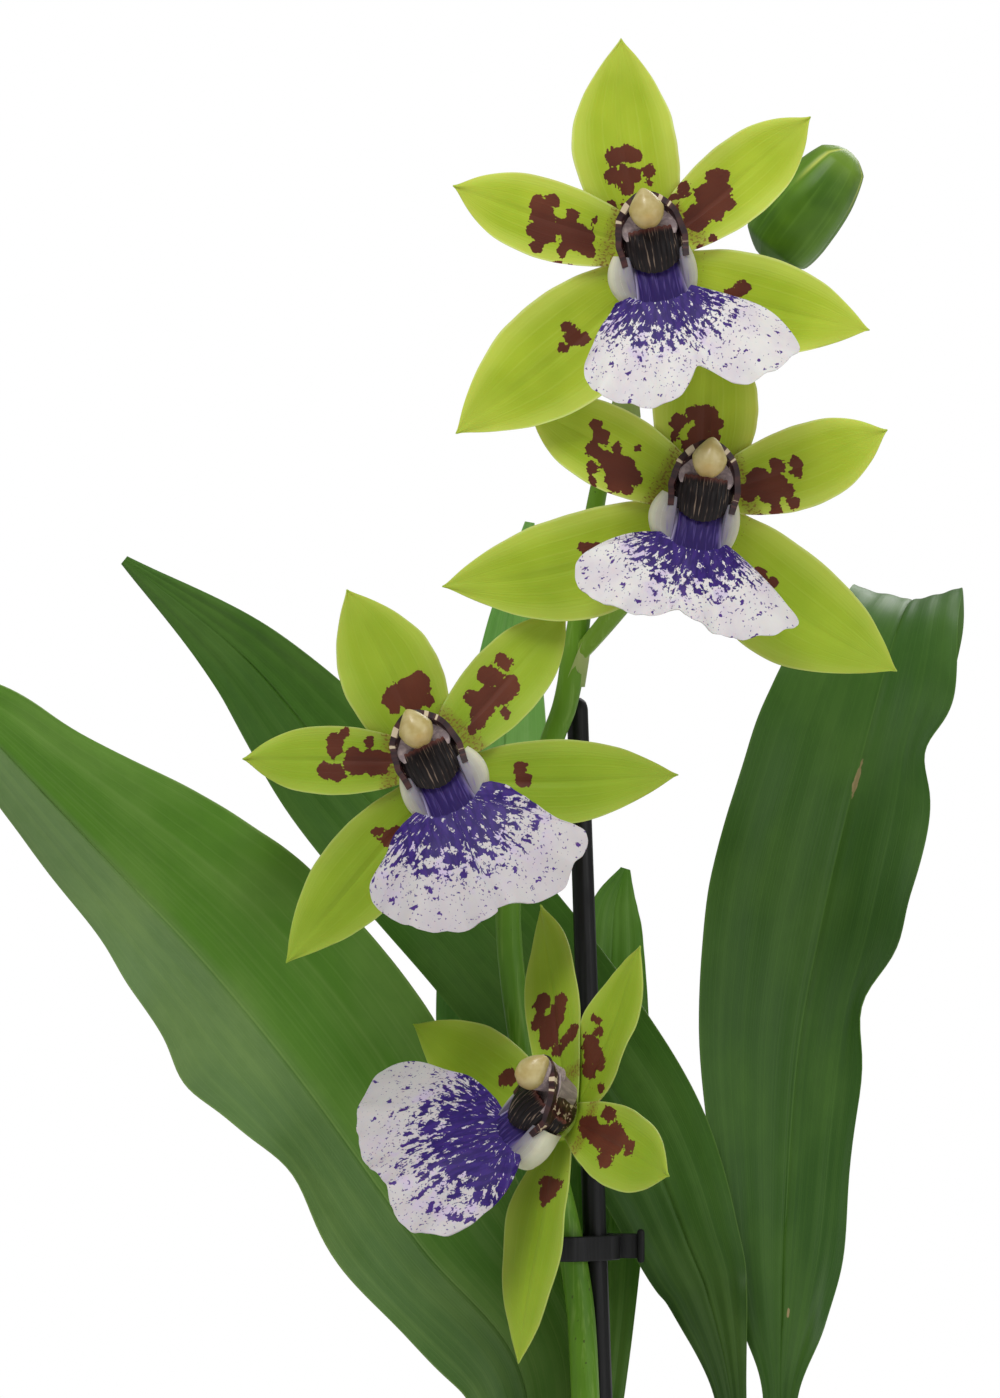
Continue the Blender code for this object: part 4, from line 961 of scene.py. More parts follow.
def make_pot():
    """The pot with a rolled rim, a step under it, a foot ring and drain holes."""
    rim_low = POT_HEIGHT - POT_RIM_HEIGHT
    inner = pot_radius(POT_HEIGHT) - POT_WALL
    outer = [
        (POT_FOOT_RADIUS, 0.0), (pot_radius(6.0), 6.0), (pot_radius(7.0) - 0.5, 7.2),
        (pot_radius(34.0) - 0.5, 34.0), (pot_radius(35.0), 35.2), (pot_radius(rim_low), rim_low),
        (POT_RIM_RADIUS - 0.6, rim_low), (POT_RIM_RADIUS, POT_HEIGHT),
        (POT_RIM_RADIUS - 1.8, POT_HEIGHT + 0.6), (inner, POT_HEIGHT),
        (pot_radius(POT_FLOOR) - POT_WALL, POT_FLOOR),
    ]
    shape = Shape()
    loft(shape, turned_rings(rounded(outer, 0.8), POT_SIDES))
    pot = shape.build("pot_fine", pot_look(), "pot_plastic", "pot", sharp=35.0)
    drains = Shape()
    for a in circle(DRAIN_COUNT):
        centre = (DRAIN_CIRCLE * math.cos(a), DRAIN_CIRCLE * math.sin(a))
        loft(drains, turned_rings([(DRAIN_RADIUS, -1.0), (DRAIN_RADIUS, POT_FLOOR + 1.0)],
                                  DRAIN_SIDES, centre))
    cutter = drains.build("drain_cutter", pot.data.materials[0], "pot_plastic")
    cut = pot.modifiers.new("drains", "BOOLEAN")
    cut.operation, cut.object = "DIFFERENCE", cutter
    graph = bpy.context.evaluated_depsgraph_get()
    mesh = bpy.data.meshes.new_from_object(pot.evaluated_get(graph))
    pot.modifiers.clear()
    pot.data = mesh
    bpy.data.objects.remove(cutter, do_unlink=True)


def blocked(x, y, reach):
    """True where a bulb, the stem or the stake stands."""
    taken = [(b[0], b[1], b[2] * 0.7) for b in BULBS.values()]
    taken += [(STEM[1][0][0], STEM[1][0][1], 3.0), (stake_point(BARK_TOP).x, stake_point(BARK_TOP).y, 3.0)]
    return any(math.hypot(x - cx, y - cy) < r + reach for cx, cy, r in taken)


def make_bark(material):
    """The bed of crumbled bark with loose chips lying over it."""
    top = pot_radius(BARK_TOP) - POT_WALL - GAP
    low = pot_radius(POT_FLOOR) - POT_WALL - GAP
    shape = Shape()
    rings = turned_rings([(low, POT_FLOOR + GAP), (top, BARK_TOP - 3.0)], BED_SIDES)
    for k in range(1, BED_RINGS):
        reach = top * (1 - k / BED_RINGS)
        ring = []
        for p in turned_rings([(reach, BARK_TOP - 2.5)], BED_SIDES)[0]:
            ring.append(p + Vector((0, 0, 2.6 * noise.noise(p * 0.16) + 1.2 * noise.noise(p * 0.6))))
        rings.append(ring)
    loft(shape, rings, 30.0, 12.0, tone=0.2)
    draw = random.Random(SEED)
    for k in range(CHIP_COUNT):
        reach = (top - 6.0) * math.sqrt((k + 0.5) / CHIP_COUNT)
        angle = k * math.radians(GOLDEN_ANGLE)
        x, y = reach * math.cos(angle), reach * math.sin(angle)
        if not blocked(x, y, CHIP_CLEARANCE):
            add_chip(shape, Vector((x, y, BARK_TOP + draw.uniform(-2.0, 1.5))), draw)
    shape.build("bark_fine", material, "bark_mix", "bark", sharp=40.0)


def add_chip(shape, place, draw):
    """One rough-edged flake of bark."""
    turn = Matrix.Rotation(draw.uniform(0, 2 * math.pi), 3, "Z")
    tilt = Matrix.Rotation(draw.uniform(-0.5, 0.5), 3, "X") @ Matrix.Rotation(draw.uniform(-0.3, 0.3), 3, "Y")
    length, width, height = (s * draw.uniform(0.6, 1.15) / 2 for s in CHIP_SIZE)
    seed = Vector((draw.uniform(0, 50), draw.uniform(0, 50), draw.uniform(0, 50)))
    rings = []
    for level, shrink in ((-1.0, 0.82), (-0.7, 1.0), (0.0, 1.02), (0.65, 0.96), (1.0, 0.78)):
        ring = []
        for a in circle(CHIP_SIDES):
            box = 1 / max(abs(math.cos(a)), abs(math.sin(a))) ** 0.75
            rough = 1 + 0.28 * noise.noise(seed + Vector((math.cos(a), math.sin(a), level * 0.5)) * 1.6)
            spot = Vector((math.cos(a) * length * box, math.sin(a) * width * box, 0)) * (shrink * rough)
            spot.z = level * height * (1 + 0.4 * noise.noise(seed + spot * 0.3))
            ring.append(place + turn @ tilt @ spot)
        rings.append(ring)
    loft(shape, rings, length * 0.4, height * 0.3, offset=seed.x, tone=draw.random())


# Bulbs and leaves

def bulb_radius(shape, t):
    """A bulb's radius at t of its height above the bark."""
    radius, neck = shape[2], shape[4]
    swell = math.sin(math.pi * (0.12 + 0.80 * t)) ** 0.7
    return max(radius * swell, neck * t)


def make_bulb(name, spec, material):
    """A ribbed bulb on a narrow foot, with torn dry sheaths round its lower half."""
    x, y, radius, height = spec[:4]
    draw = random.Random(SEED + int(radius * 10 + abs(x)))
    shape = Shape()
    rings = []
    for k in range(BULB_LEVELS + 1):
        t = k / BULB_LEVELS
        z = BARK_TOP - BULB_SINK + (height + BULB_SINK) * t
        above = max(0.0, (z - BARK_TOP) / height)
        r = bulb_radius(spec, above) if z > BARK_TOP else BULB_FOOT_RADIUS
        r = min(r, BULB_FOOT_RADIUS + (z - BARK_TOP + 2.5) * 1.6) if z > BARK_TOP - 2.5 else BULB_FOOT_RADIUS
        rib = 0.045 * math.sin(math.pi * min(1.0, above * 1.02))
        ring = []
        for a in circle(BULB_SIDES):
            ridge = 1 - 2 * abs(math.sin(4.5 * a)) ** 0.6
            uneven = noise.noise(Vector((x + 9 * math.cos(a), 9 * math.sin(a), z * 0.2)))
            reach = r * (1 + rib * ridge + 0.012 * uneven)
            ring.append(Vector((x + reach * math.cos(a), y + reach * math.sin(a), z)))
        rings.append(ring)
    loft(shape, rings, 0.6 * radius, height / 10)
    for k in range(3):
        add_sheath(shape, spec, 2.1 * k + draw.uniform(0, 1), (0.34, 0.5, 0.26)[k], 0.7 + 0.45 * k)
    shape.build(name + "_fine", material, "bulb_green", name, sharp=70.0)


def add_sheath(shape, spec, start, tall, stand):
    """A dry papery sheath that wraps the lower part of a bulb and ends in a torn point."""
    x, y, radius, height = spec[:4]
    rows, cols = 22, 30

    def at(s, w):
        """One point of the sheath, s up it and w round it."""
        v = 2 * w - 1
        a = start + v * 1.25 * (1 - 0.45 * s)
        tear = 0.10 * noise.noise(Vector((v * 5, start, 0))) * s
        t = tall * s * (1 - 0.5 * abs(v) ** 1.5) + tear
        r = bulb_radius(spec, max(t, 0.0)) * 1.03 + stand + 0.5 * s * s
        r = min(r, BULB_FOOT_RADIUS + 2.2 + height * max(t, 0.0) * 1.6 + stand)
        r += 0.3 * noise.noise(Vector((v * 3, s * 2, start)))
        z = BARK_TOP - 1.5 + height * max(t, 0.0)
        return Vector((x + r * math.cos(a), y + r * math.sin(a), z)), (a * radius / 10, t * height / 10)

    papery = [[1.0] * (cols + 1)] * (rows + 1)
    sheet(shape, *patch(rows, cols, at), lambda s, v: 0.35, {"papery": papery})


def leaf_grid(spec, rows, cols):
    """Points of a pleated leaf, base to tip and left to right, with their flat measures."""
    stations = spec["stations"]
    middles = [Vector(s[0]) for s in stations]
    left = [s[1] for s in stations]
    right = [s[2] for s in stations]
    turn = math.radians(spec["turn"])
    reference = Vector((math.cos(turn), math.sin(turn), 0))
    height, count, phase = spec["wave"]
    grid, sizes = [], []
    run = 0.0
    for i in range(rows + 1):
        s = i / rows
        centre = smooth(middles, s)
        run += (centre - smooth(middles, max(s - 1 / rows, 0))).length / 10
        tangent = (smooth(middles, min(s + 0.01, 1)) - smooth(middles, max(s - 0.01, 0))).normalized()
        across = (reference - tangent * reference.dot(tangent)).normalized()
        face = across.cross(tangent)
        widths = (smooth(left, s), smooth(right, s))
        line, size = [], []
        for j in range(cols + 1):
            v = 2 * j / cols - 1
            width = widths[1] if v > 0 else widths[0]
            full = min(1.0, width / 6.0)
            lift = spec["fold"] * abs(v) * width
            lift += LEAF_PLEAT * full * math.cos(5 * math.pi * v)
            side = 0.0 if v > 0 else 1.3
            lift += height * full * abs(v) ** 2.5 * math.sin(2 * math.pi * count * s + phase + side)
            lift += leaf_detail(v, s, full, phase)
            edge = 1 + 0.008 * noise.noise(Vector((s * 26, phase, side))) * full
            aside = v * width * edge + edge_shift(spec.get("edges", []), s, v)
            line.append(centre + across * aside + face * lift)
            size.append((v * width / 10, run))
        grid.append(line)
        sizes.append(size)
    return grid, sizes


def edge_shift(edges, s, v):
    """How far the waves of a leaf's margin move a point sideways."""
    shift = 0.0
    for along, side, depth, long in edges:
        if side * v > 0:
            shift += depth * math.exp(-((s - along) / long) ** 2) * v * v * v
    return shift


def leaf_detail(v, s, full, phase):
    """Relief that the solid has no room for: the midrib groove, small waves and dents."""
    groove = -0.4 * math.exp(-(v / 0.04) ** 2)
    ripple = 0.18 * abs(v) ** 5 * math.sin(2 * math.pi * 11 * s + 2.0 * phase + 2.0 * v)
    dent = 0.4 * noise.noise(Vector((v * 1.8, s * 5.0, phase)))
    return full * (groove + ripple + dent)


def make_leaf(name, spec, material):
    """One leaf as a thin pleated sheet with its scratches."""
    grid, sizes = leaf_grid(spec, LEAF_ROWS, LEAF_COLS)
    scar = []
    for i in range(LEAF_ROWS + 1):
        s = i / LEAF_ROWS
        scar.append([scar_at(spec.get("scars", []), s, 2 * j / LEAF_COLS - 1) for j in range(LEAF_COLS + 1)])
    shape = Shape()
    sheet(shape, grid, sizes, lambda s, v: 0.25 + 0.5 * (1 - abs(v) ** 3), {"scar": scar})
    shape.build(name + "_fine", material, "leaf_green", name, sharp=80.0)


def scar_at(scars, s, v):
    """How strongly a point of a leaf is scratched, from 0 to 1."""
    return max([math.exp(-((s - along) / long) ** 2 - ((v - across) / wide) ** 2)
                for along, across, long, wide in scars] or [0.0])


# Flower stem, bud, stake and clip

def make_spike(material):
    """The flower stem with its joints, bracts, pedicels and ribbed ovaries."""
    middles = [Vector(p) for p, r in STEM]
    radii = [r for p, r in STEM]
    shape = Shape()
    steps = [k / STEM_STEPS for k in range(STEM_STEPS + 1)]
    centres = [smooth(middles, s) for s in steps]
    thick = []
    joints = [Vector(spec["root"]).z for spec in BLOOMS.values()]
    for s, centre in zip(steps, centres):
        swell = sum(math.exp(-((centre.z - z) / 3.0) ** 2) for z in joints)
        thick.append(smooth(radii, s) * (1 + 0.12 * swell))
    rings = tube_rings(centres, thick, STEM_SIDES, STEM_RIBS, STEM_RIB_DEPTH)
    loft(shape, rings, 1.6, 34.0, fresh=[0.5 * s ** 3 for s in steps])
    for spec in BLOOMS.values():
        place = bloom_place(spec)
        ahead = bloom_axes(spec["facing"])[2]
        root = Vector(spec["root"])
        end = place(0, 0, CORE_BACK - GAP)
        reach = (end - root).length
        outward = Vector((end.x - root.x, end.y - root.y, 0)).normalized()
        lead = (outward + Vector((0, 0, 0.8))) * reach * 0.33
        path = curve_between(root, lead, end - ahead * 1.5, ahead * reach * 0.42, 34) + [end]
        swell = [PEDICEL_RADIUS + (OVARY_RADIUS - PEDICEL_RADIUS) * min(1, k / 20) for k in range(36)]
        loft(shape, tube_rings(path, swell, 30, 6, 0.05), 1.2, reach / 10, fresh=0.6)
        add_bract(shape, root, outward)
    shape.build("spike_fine", material, "stem_green", "spike", sharp=70.0)


def add_bract(shape, root, outward):
    """A small pointed bract that clasps the stem below a pedicel."""
    side = outward.cross(Vector((0, 0, 1))).normalized()
    rows, cols = 20, 14

    def at(t, w):
        """One point of the bract, t along it and w across it."""
        v = 2 * w - 1
        half = 2.3 * (1 - t) ** 0.7 + 0.35
        centre = root + outward * (1.0 + 2.8 * t) + Vector((0, 0, -5.0 + 10.0 * t))
        spot = centre + side * (half * v) - outward * (1.3 * v * v * (1 - 0.7 * t))
        return spot, (half * v / 10, t)

    papery = [[0.35 + 0.5 * (i / rows)] * (cols + 1) for i in range(rows + 1)]
    sheet(shape, *patch(rows, cols, at), lambda s, v: 0.45, {"papery": papery, "fresh": papery})


def make_bud():
    """The closed bud: three sepals that meet in seams, blunt at both ends."""
    base, tip = Vector(BUD_BASE), Vector(BUD_TIP)
    axis = (tip - base).normalized()
    across, other = side_axes(axis)
    length = (tip - base).length
    rows, sides = 60, 96
    rings, seams = [], []
    for k in range(rows + 1):
        t = k / rows
        ends = min(1.0, 0.22 + (t / 0.2) ** 0.5) * min(1.0, 0.25 + ((1 - t) / 0.14) ** 0.5)
        radius = BUD_RADIUS * smooth(BUD_PROFILE, t) * ends
        centre = base + axis * (GAP + (length - GAP) * t)
        ring = []
        for a in circle(sides):
            fold = max(0.0, math.cos(3 * a + BUD_TWIST))
            r = radius * (1 - 0.03 * fold - 0.05 * fold ** 24 * min(1, 2 * t))
            r += 0.1 * noise.noise(Vector((math.cos(a) * 2, math.sin(a) * 2, t * 4)))
            ring.append(centre + (across * math.cos(a) + other * math.sin(a)) * r)
        rings.append(ring)
        seams += [max(0.0, math.cos(6 * math.pi * j / sides + BUD_TWIST)) ** 40 for j in range(sides + 1)]
    shape = Shape()
    loft(shape, rings, 4.2, length / 10)
    shape.fields["seam"] = seams
    shape.build("bud_fine", bud_look(), "bud_green", "bud", sharp=80.0)


def stake_point(z):
    """The stake's middle at a height."""
    foot, top = Vector(STAKE_FOOT), Vector(STAKE_TOP)
    return foot.lerp(top, (z - foot.z) / (top.z - foot.z))


def make_stake(material):
    """The support stake: a pointed foot, faint flutes and a bevelled top."""
    foot, top = Vector(STAKE_FOOT), Vector(STAKE_TOP)
    axis = (top - foot).normalized()
    length = (top - foot).length
    levels = rounded([(0.6, 0.0), (STAKE_FOOT_RADIUS, 5.0), (STAKE_TOP_RADIUS, length - 1.8),
                      (STAKE_TOP_RADIUS * 0.8, length - 0.6), (STAKE_TOP_RADIUS * 0.35, length)], 0.8)
    shape = Shape()
    rings = tube_rings([foot + axis * d for r, d in levels], [r for r, d in levels],
                       STAKE_SIDES, STAKE_FLUTES, STAKE_FLUTE_DEPTH)
    loft(shape, rings, 1.4, length / 10)
    shape.build("stake_fine", material, "stake_black", "stake", sharp=40.0)


def make_clip(material):
    """The clip: a rounded ring round stem and stake, with a finger tab and its end lip."""
    stake = stake_point(CLIP_Z)
    stem = Vector((*CLIP_STEM, CLIP_Z))
    flat = Vector((stake.x - stem.x, stake.y - stem.y, 0))
    along = flat.normalized()
    beside = Vector((-along.y, along.x, 0))
    inner = CLIP_STEM_RADIUS + GAP + CLIP_PLAY
    sides = 64
    section = closed_round([(inner, 0), (inner + CLIP_WALL, 0), (inner + CLIP_WALL, CLIP_HEIGHT),
                            (inner, CLIP_HEIGHT)], 0.35)
    points, faces = [], []
    for radius, z in section:
        for j in range(sides):
            a = 2 * math.pi * (j + 0.5) / sides
            centre = stake if math.cos(a) > 0 else stem
            point = centre + (along * math.cos(a) + beside * math.sin(a)) * radius
            points.append(Vector((point.x, point.y, CLIP_Z - CLIP_HEIGHT / 2 + z)))
    rounds = len(section)
    for k in range(rounds):
        for j in range(sides):
            a, b = k * sides + j, k * sides + (j + 1) % sides
            c, d = ((k + 1) % rounds) * sides + (j + 1) % sides, ((k + 1) % rounds) * sides + j
            faces.append((a, b, c, d))
    maps = [(p.x / 10, p.z / 10) for p in points]
    shape = Shape()
    shape.add(points, faces, maps, maps)
    start = stake + along * (inner + 0.5)
    add_block(shape, (start.x, CLIP_END), (start.y - 1.0, start.y + 1.0),
              (CLIP_Z - CLIP_HEIGHT / 2 + 0.05, CLIP_Z + CLIP_HEIGHT / 2 - 0.05), 0.35)
    add_block(shape, (CLIP_END - 1.2, CLIP_END + 0.1), (start.y - 1.9, start.y + 1.9),
              (CLIP_Z - CLIP_HEIGHT / 2 - 0.7, CLIP_Z + CLIP_HEIGHT / 2 + 0.7), 0.45)
    shape.build("clip_fine", material, "clip_black", "clip", sharp=50.0)


def closed_round(corners, radius):
    """A closed outline with all its corners rounded."""
    made = []
    for k, here in enumerate(corners):
        made += corner(Vector(corners[k - 1]), Vector(here), Vector(corners[(k + 1) % len(corners)]), radius)
    return made


def add_block(shape, xs, ys, zs, radius):
    """A block along x with every edge rounded."""
    middle_y, middle_z = sum(ys) / 2, sum(zs) / 2
    half_y, half_z = (ys[1] - ys[0]) / 2, (zs[1] - zs[0]) / 2
    rings = []
    for x, shrink in ((xs[0], radius), (xs[0] + 0.3 * radius, 0.3 * radius), (xs[0] + radius, 0.0),
                      (xs[1] - radius, 0.0), (xs[1] - 0.3 * radius, 0.3 * radius), (xs[1], radius)):
        y, z = half_y - shrink, half_z - shrink
        outline = closed_round([(-y, -z), (y, -z), (y, z), (-y, z)], radius * 0.8)
        rings.append([Vector((x, middle_y + p, middle_z + q)) for p, q in outline])
    loft(shape, rings)


# Blooms

def bloom_axes(facing):
    """Right, up and forward of a bloom from its yaw, pitch and roll."""
    yaw, pitch, roll = (math.radians(a) for a in facing)
    ahead = Vector((math.sin(yaw) * math.cos(pitch), -math.cos(yaw) * math.cos(pitch),
                    math.sin(pitch)))
    level = Vector((math.cos(yaw), math.sin(yaw), 0.0))
    rise = level.cross(ahead) * -1.0
    if rise.z < 0:
        rise = -rise
    up = rise * math.cos(roll) + level * math.sin(roll)
    right = level * math.cos(roll) - rise * math.sin(roll)
    return right, up, ahead


def bloom_place(spec):
    """A function from a bloom's own (right, up, forward) to the part's frame."""
    right, up, ahead = bloom_axes(spec["facing"])
    middle = Vector(spec["middle"])
    return lambda r, u, n: middle + right * r + up * u + ahead * n


def stain_at(stains, along, across):
    """How far inside the blotches a point lies, in millimetres; below 0 outside them."""
    total = 0.0
    for spot, aside, half_long, *other in stains:
        half_wide = other[0] if other else half_long
        away = math.hypot((along - spot) / half_long, (across - aside) / half_wide)
        depth = (1.0 - away) * min(half_long, half_wide)
        total += math.exp(max(depth, -3.0) / STAIN_BLEND)
    return STAIN_BLEND * math.log(total + math.exp(-3.0 / STAIN_BLEND))


def add_tepal(shape, place, form, profile, start, stains, freckled, phase):
    """One sepal or petal, with its blotches and freckles as fields."""
    turn, length, width, lean, bend = form
    c, s = math.cos(math.radians(turn)), math.sin(math.radians(turn))
    grid, sizes, stain, freckle = [], [], [], []
    for i in range(TEPAL_ROWS + 1):
        t = i / TEPAL_ROWS
        reach = 0.8 + (length - 0.8) * t
        half = smooth(profile, t) * width / 2 * (1.0 - t ** TIP_POINT)
        sway = bend * math.sin(math.pi * t)
        drop = LATERAL_DROP * (1 - t) ** 2 if c < 0 else 0.0
        line, size, depth, dots = [], [], [], []
        for j in range(TEPAL_COLS + 1):
            v = 2 * j / TEPAL_COLS - 1
            x = v * half * (1 + 0.02 * noise.noise(Vector((t * 9, phase, v)))) + sway
            n = start + lean * t ** 1.4 + 0.07 * v * v * width * math.sin(math.pi * min(t * 1.2, 1))
            n += tepal_detail(v, t, phase)
            line.append(place(reach * s + x * c, reach * c - x * s - drop, n))
            size.append((x / 10 + 3.0 * phase, reach / 10))
            depth.append(stain_at(stains, reach, x - sway))
            dots.append(freckled * math.exp(-((reach - 7.5) / 2.6) ** 2) * 0.27 - 0.16)
        grid.append(line)
        sizes.append(size)
        stain.append(depth)
        freckle.append(dots)
    sheet(shape, grid, sizes, lambda s, v: 0.2 + 0.6 * (1 - abs(v) ** 3) * (1 - s ** 8),
          {"stain": stain, "freckle": freckle})


def tepal_detail(v, t, phase):
    """The groove down the middle, rippled margins and a soft unevenness."""
    groove = -0.3 * math.exp(-(v / 0.09) ** 2) * math.sin(math.pi * min(1, t * 1.1))
    ripple = 0.3 * abs(v) ** 3 * math.sin(2 * math.pi * (2.3 * t + phase)) * math.sin(math.pi * t)
    uneven = 0.5 * noise.noise(Vector((v * 1.2, t * 3.0, phase * 7.0)))
    return groove + ripple + uneven * min(1, 3 * t)


def make_tepals(name, spec, marks, material):
    """The three sepals and two petals round the small green core."""
    place = bloom_place(spec)
    shape = Shape()
    levels = [(CORE_BACK, CORE_RADIUS - 1.3), (CORE_BACK + 0.4, CORE_RADIUS - 1.0),
              (CORE_FRONT - 0.5, CORE_RADIUS), (CORE_FRONT, CORE_RADIUS - 0.4)]
    rings = []
    for n, radius in levels:
        ring = []
        for a in circle(CORE_SIDES):
            low = 1 + 0.5 * LATERAL_DROP / CORE_RADIUS if math.sin(a) < 0 else 1
            ring.append(place(radius * math.cos(a), radius * math.sin(a) * low, n))
        rings.append(ring)
    loft(shape, rings, 2.0, 0.4, stain=-1.0, freckle=-0.2)
    for k, form in enumerate(spec["sepals"]):
        add_tepal(shape, place, form, SEPAL_PROFILE, -0.9 - 0.05 * k, marks["sepals"][k], 0.5, 0.1 + 0.2 * k)
    for k, form in enumerate(spec["petals"]):
        add_tepal(shape, place, form, PETAL_PROFILE, 0.35 + 0.05 * k, marks["petals"][k], 1.0, 0.75 + 0.2 * k)
    shape.build(name, material, "tepal_green", name.replace("_fine", ""), sharp=80.0)


def lip_point(place, lip, u, reach):
    """A point of the lip's blade, u across it from 0 to 1 and reach out from the hinge."""
    pitch = math.radians(lip["pitch"])
    a = math.radians(smooth([p[0] for p in lip["rim"]], u))
    rim = smooth([p[1] for p in lip["rim"]], u)
    rim += 0.3 * noise.noise(Vector((14 * a, rim * 0.1, lip["pitch"])))
    r = LIP_INNER + (rim - LIP_INNER) * reach
    frill = LIP_FRILL * reach ** 2 * math.sin(9 * a + 1.0)
    frill += 0.4 * reach ** 5 * math.sin(25 * a + rim * 0.2)
    out = -LIP_DROOP * (r / 22.0) ** 2 + frill
    along = r * math.cos(a)
    hinge_r, hinge_u, hinge_n = LIP_HINGE
    point = place(hinge_r + r * math.sin(a),
                  hinge_u - along * math.cos(pitch) + out * math.sin(pitch),
                  hinge_n + along * math.sin(pitch) + out * math.cos(pitch))
    return point, (r * math.sin(a) / 10, r * math.cos(a) / 10), r / (LIP_REACH * lip["span"])


def make_lip(name, spec, material):
    """The lip: a frilled fan, the violet waist above it, its neck and two side lobes."""
    place = bloom_place(spec)
    lip = spec["lip"]
    shape = Shape()
    lines = [[lip_point(place, lip, j / LIP_COLS, i / LIP_ROWS) for j in range(LIP_COLS + 1)]
             for i in range(LIP_ROWS + 1)]
    sheet(shape, [[p for p, size, far in line] for line in lines],
          [[size for p, size, far in line] for line in lines],
          lambda s, v: 0.3 + 0.6 * (1 - s), {"far": [[far for p, size, far in line] for line in lines]},
          flip=True)
    add_waist(shape, place)
    add_neck(shape, place, lip)
    for side, spread in zip((-1, 1), lip["lobes"]):
        add_side_lobe(shape, place, side, spread)
    shape.build(name, material, "lip_white", name.replace("_fine", ""), sharp=70.0)


def add_waist(shape, place):
    """The arched violet strip that comes out under the collar and spreads into the blade."""
    rows, cols = 26, 30

    def at(t, w):
        """One point of the strip, t down it and w across it."""
        v = 2 * w - 1
        half = WAIST_HALF + 1.1 * t ** 3
        rib = 0.16 * math.sin(5.5 * math.pi * v) * math.sin(math.pi * t)
        n = 7.7 + 1.7 * t + 0.7 * math.sin(math.pi * t) - 1.7 * v * v * (1 - 0.6 * t ** 2) + rib
        return place(half * v, -1.5 - 9.0 * t, n), (half * v / 10, t * 0.9)

    throat = [[1.0] * (cols + 1)] * (rows + 1)
    sheet(shape, *patch(rows, cols, at), lambda s, v: 0.8, {"throat": throat}, flip=True)


def add_neck(shape, place, lip):
    """The thick neck that holds the lip to the middle of the bloom."""
    pitch = math.radians(lip["pitch"])
    end = (LIP_HINGE[1] - 6.0 * math.cos(pitch) - 0.6 * math.sin(pitch),
           LIP_HINGE[2] + 6.0 * math.sin(pitch) - 0.6 * math.cos(pitch) - 1.0, 4.0, 0.7)
    neck = [(-4.6, CORE_FRONT + GAP, 2.4, 0.7), (-7.8, 4.9, 4.3, 1.0), (-8.9, 7.2, 4.4, 1.1), end]
    rings = []
    for k in range(NECK_STEPS + 1):
        t = k / NECK_STEPS
        u, n, half, thick = (smooth([ring[q] for ring in neck], t) for q in range(4))
        ahead = [smooth([ring[q] for ring in neck], min(t + 0.02, 1)) for q in (0, 1)]
        behind = [smooth([ring[q] for ring in neck], max(t - 0.02, 0)) for q in (0, 1)]
        du, dn = (ahead[0] - behind[0], ahead[1] - behind[1]) if k else (0.0, 1.0)
        size = math.hypot(du, dn)
        ring = []
        for a in circle(NECK_SIDES):
            off = thick * math.sin(a)
            ring.append(place(half * math.cos(a), u + off * dn / size, n - off * du / size))
        rings.append(ring)
    loft(shape, rings, 2.2, 1.2, lobe=1.0)


def add_side_lobe(shape, place, side, spread):
    """A pale flap that bulges out beside the waist and turns back towards the bloom."""
    rows, cols = 26, 26

    def at(t, w):
        """One point of the flap, t down it and w outwards and back."""
        bulge = spread * math.sin(math.pi * (0.17 + 0.73 * t)) ** 0.8
        crease = 0.25 * math.sin(3 * math.pi * w) * math.sin(math.pi * t)
        r = LOBE_ROOT + bulge * math.sin(math.pi * w * 0.96) + crease
        rise = 0.7 * math.sin(math.pi * w) * (1 - t)
        return place(side * r, -1.0 - 8.4 * t + rise, 8.7 - 6.0 * w), (w * 0.8, t * 0.85)

    lobe = [[0.25 + 0.75 * min(1.0, 3.0 * j / cols) for j in range(cols + 1)]] * (rows + 1)
    sheet(shape, *patch(rows, cols, at), lambda s, v: 0.7, {"lobe": lobe}, flip=side < 0)


def make_callus(name, spec, material):
    """The collar under the column: a ridged bib that wraps back along both sides."""
    place = bloom_place(spec)

    def at(t, w):
        """One point of the collar, t up it and w round it."""
        v = 2 * w - 1
        a = math.radians(88.0) * v
        groove = abs(math.sin(CALLUS_RIDGES * math.pi * v))
        ridge = 0.28 * groove ** 0.7 * math.sin(math.pi * min(1, t * 1.1 + 0.1))
        low = -4.3 + 3.6 * math.sin(a) ** 2 - 0.2 * groove
        high = 3.1 + 0.25 * groove ** 2 - 0.5 * v * v
        bulge = 4.8 + 1.1 * math.sin(math.pi * (0.12 + 0.72 * t))
        spot = place((5.4 + 0.35 * t + ridge) * math.sin(a), low + (high - low) * t,
                     4.5 + (bulge + ridge) * math.cos(a))
        return spot, (a * 0.54, t)

    shape = Shape()
    sheet(shape, *patch(CALLUS_ROWS, CALLUS_COLS, at), lambda s, v: 0.9)
    shape.build(name, material, "callus_brown", name.replace("_fine", ""), sharp=60.0)


def make_column(name, spec, material):
    """The column: a shell that widens into a pointed hood with a wing down each side."""
    place = bloom_place(spec)

    def at(t, w):
        """One point of the shell, t forward and w round it."""
        half, tall, low = 3.0 + 2.95 * t ** 0.8, 2.8 + 5.6 * t, -0.6 - 1.9 * t
        r, u, wing = hood_edge(w, half, tall, low)
        ripple = 0.12 * noise.noise(Vector((r * 0.6, u * 0.6, t * 5)))
        n = CORE_FRONT + GAP + (9.6 - 2.7 * wing) * t
        return place(r * (1 + ripple * 0.3), u + ripple, n), (w * 2.6, t * 0.9)

    shape = Shape()
    sheet(shape, *patch(COLUMN_ROWS, COLUMN_COLS, at), lambda s, v: 1.1)
    add_stigma(shape, place)
    shape.build(name, material, "column_brown", name.replace("_fine", ""), sharp=60.0)


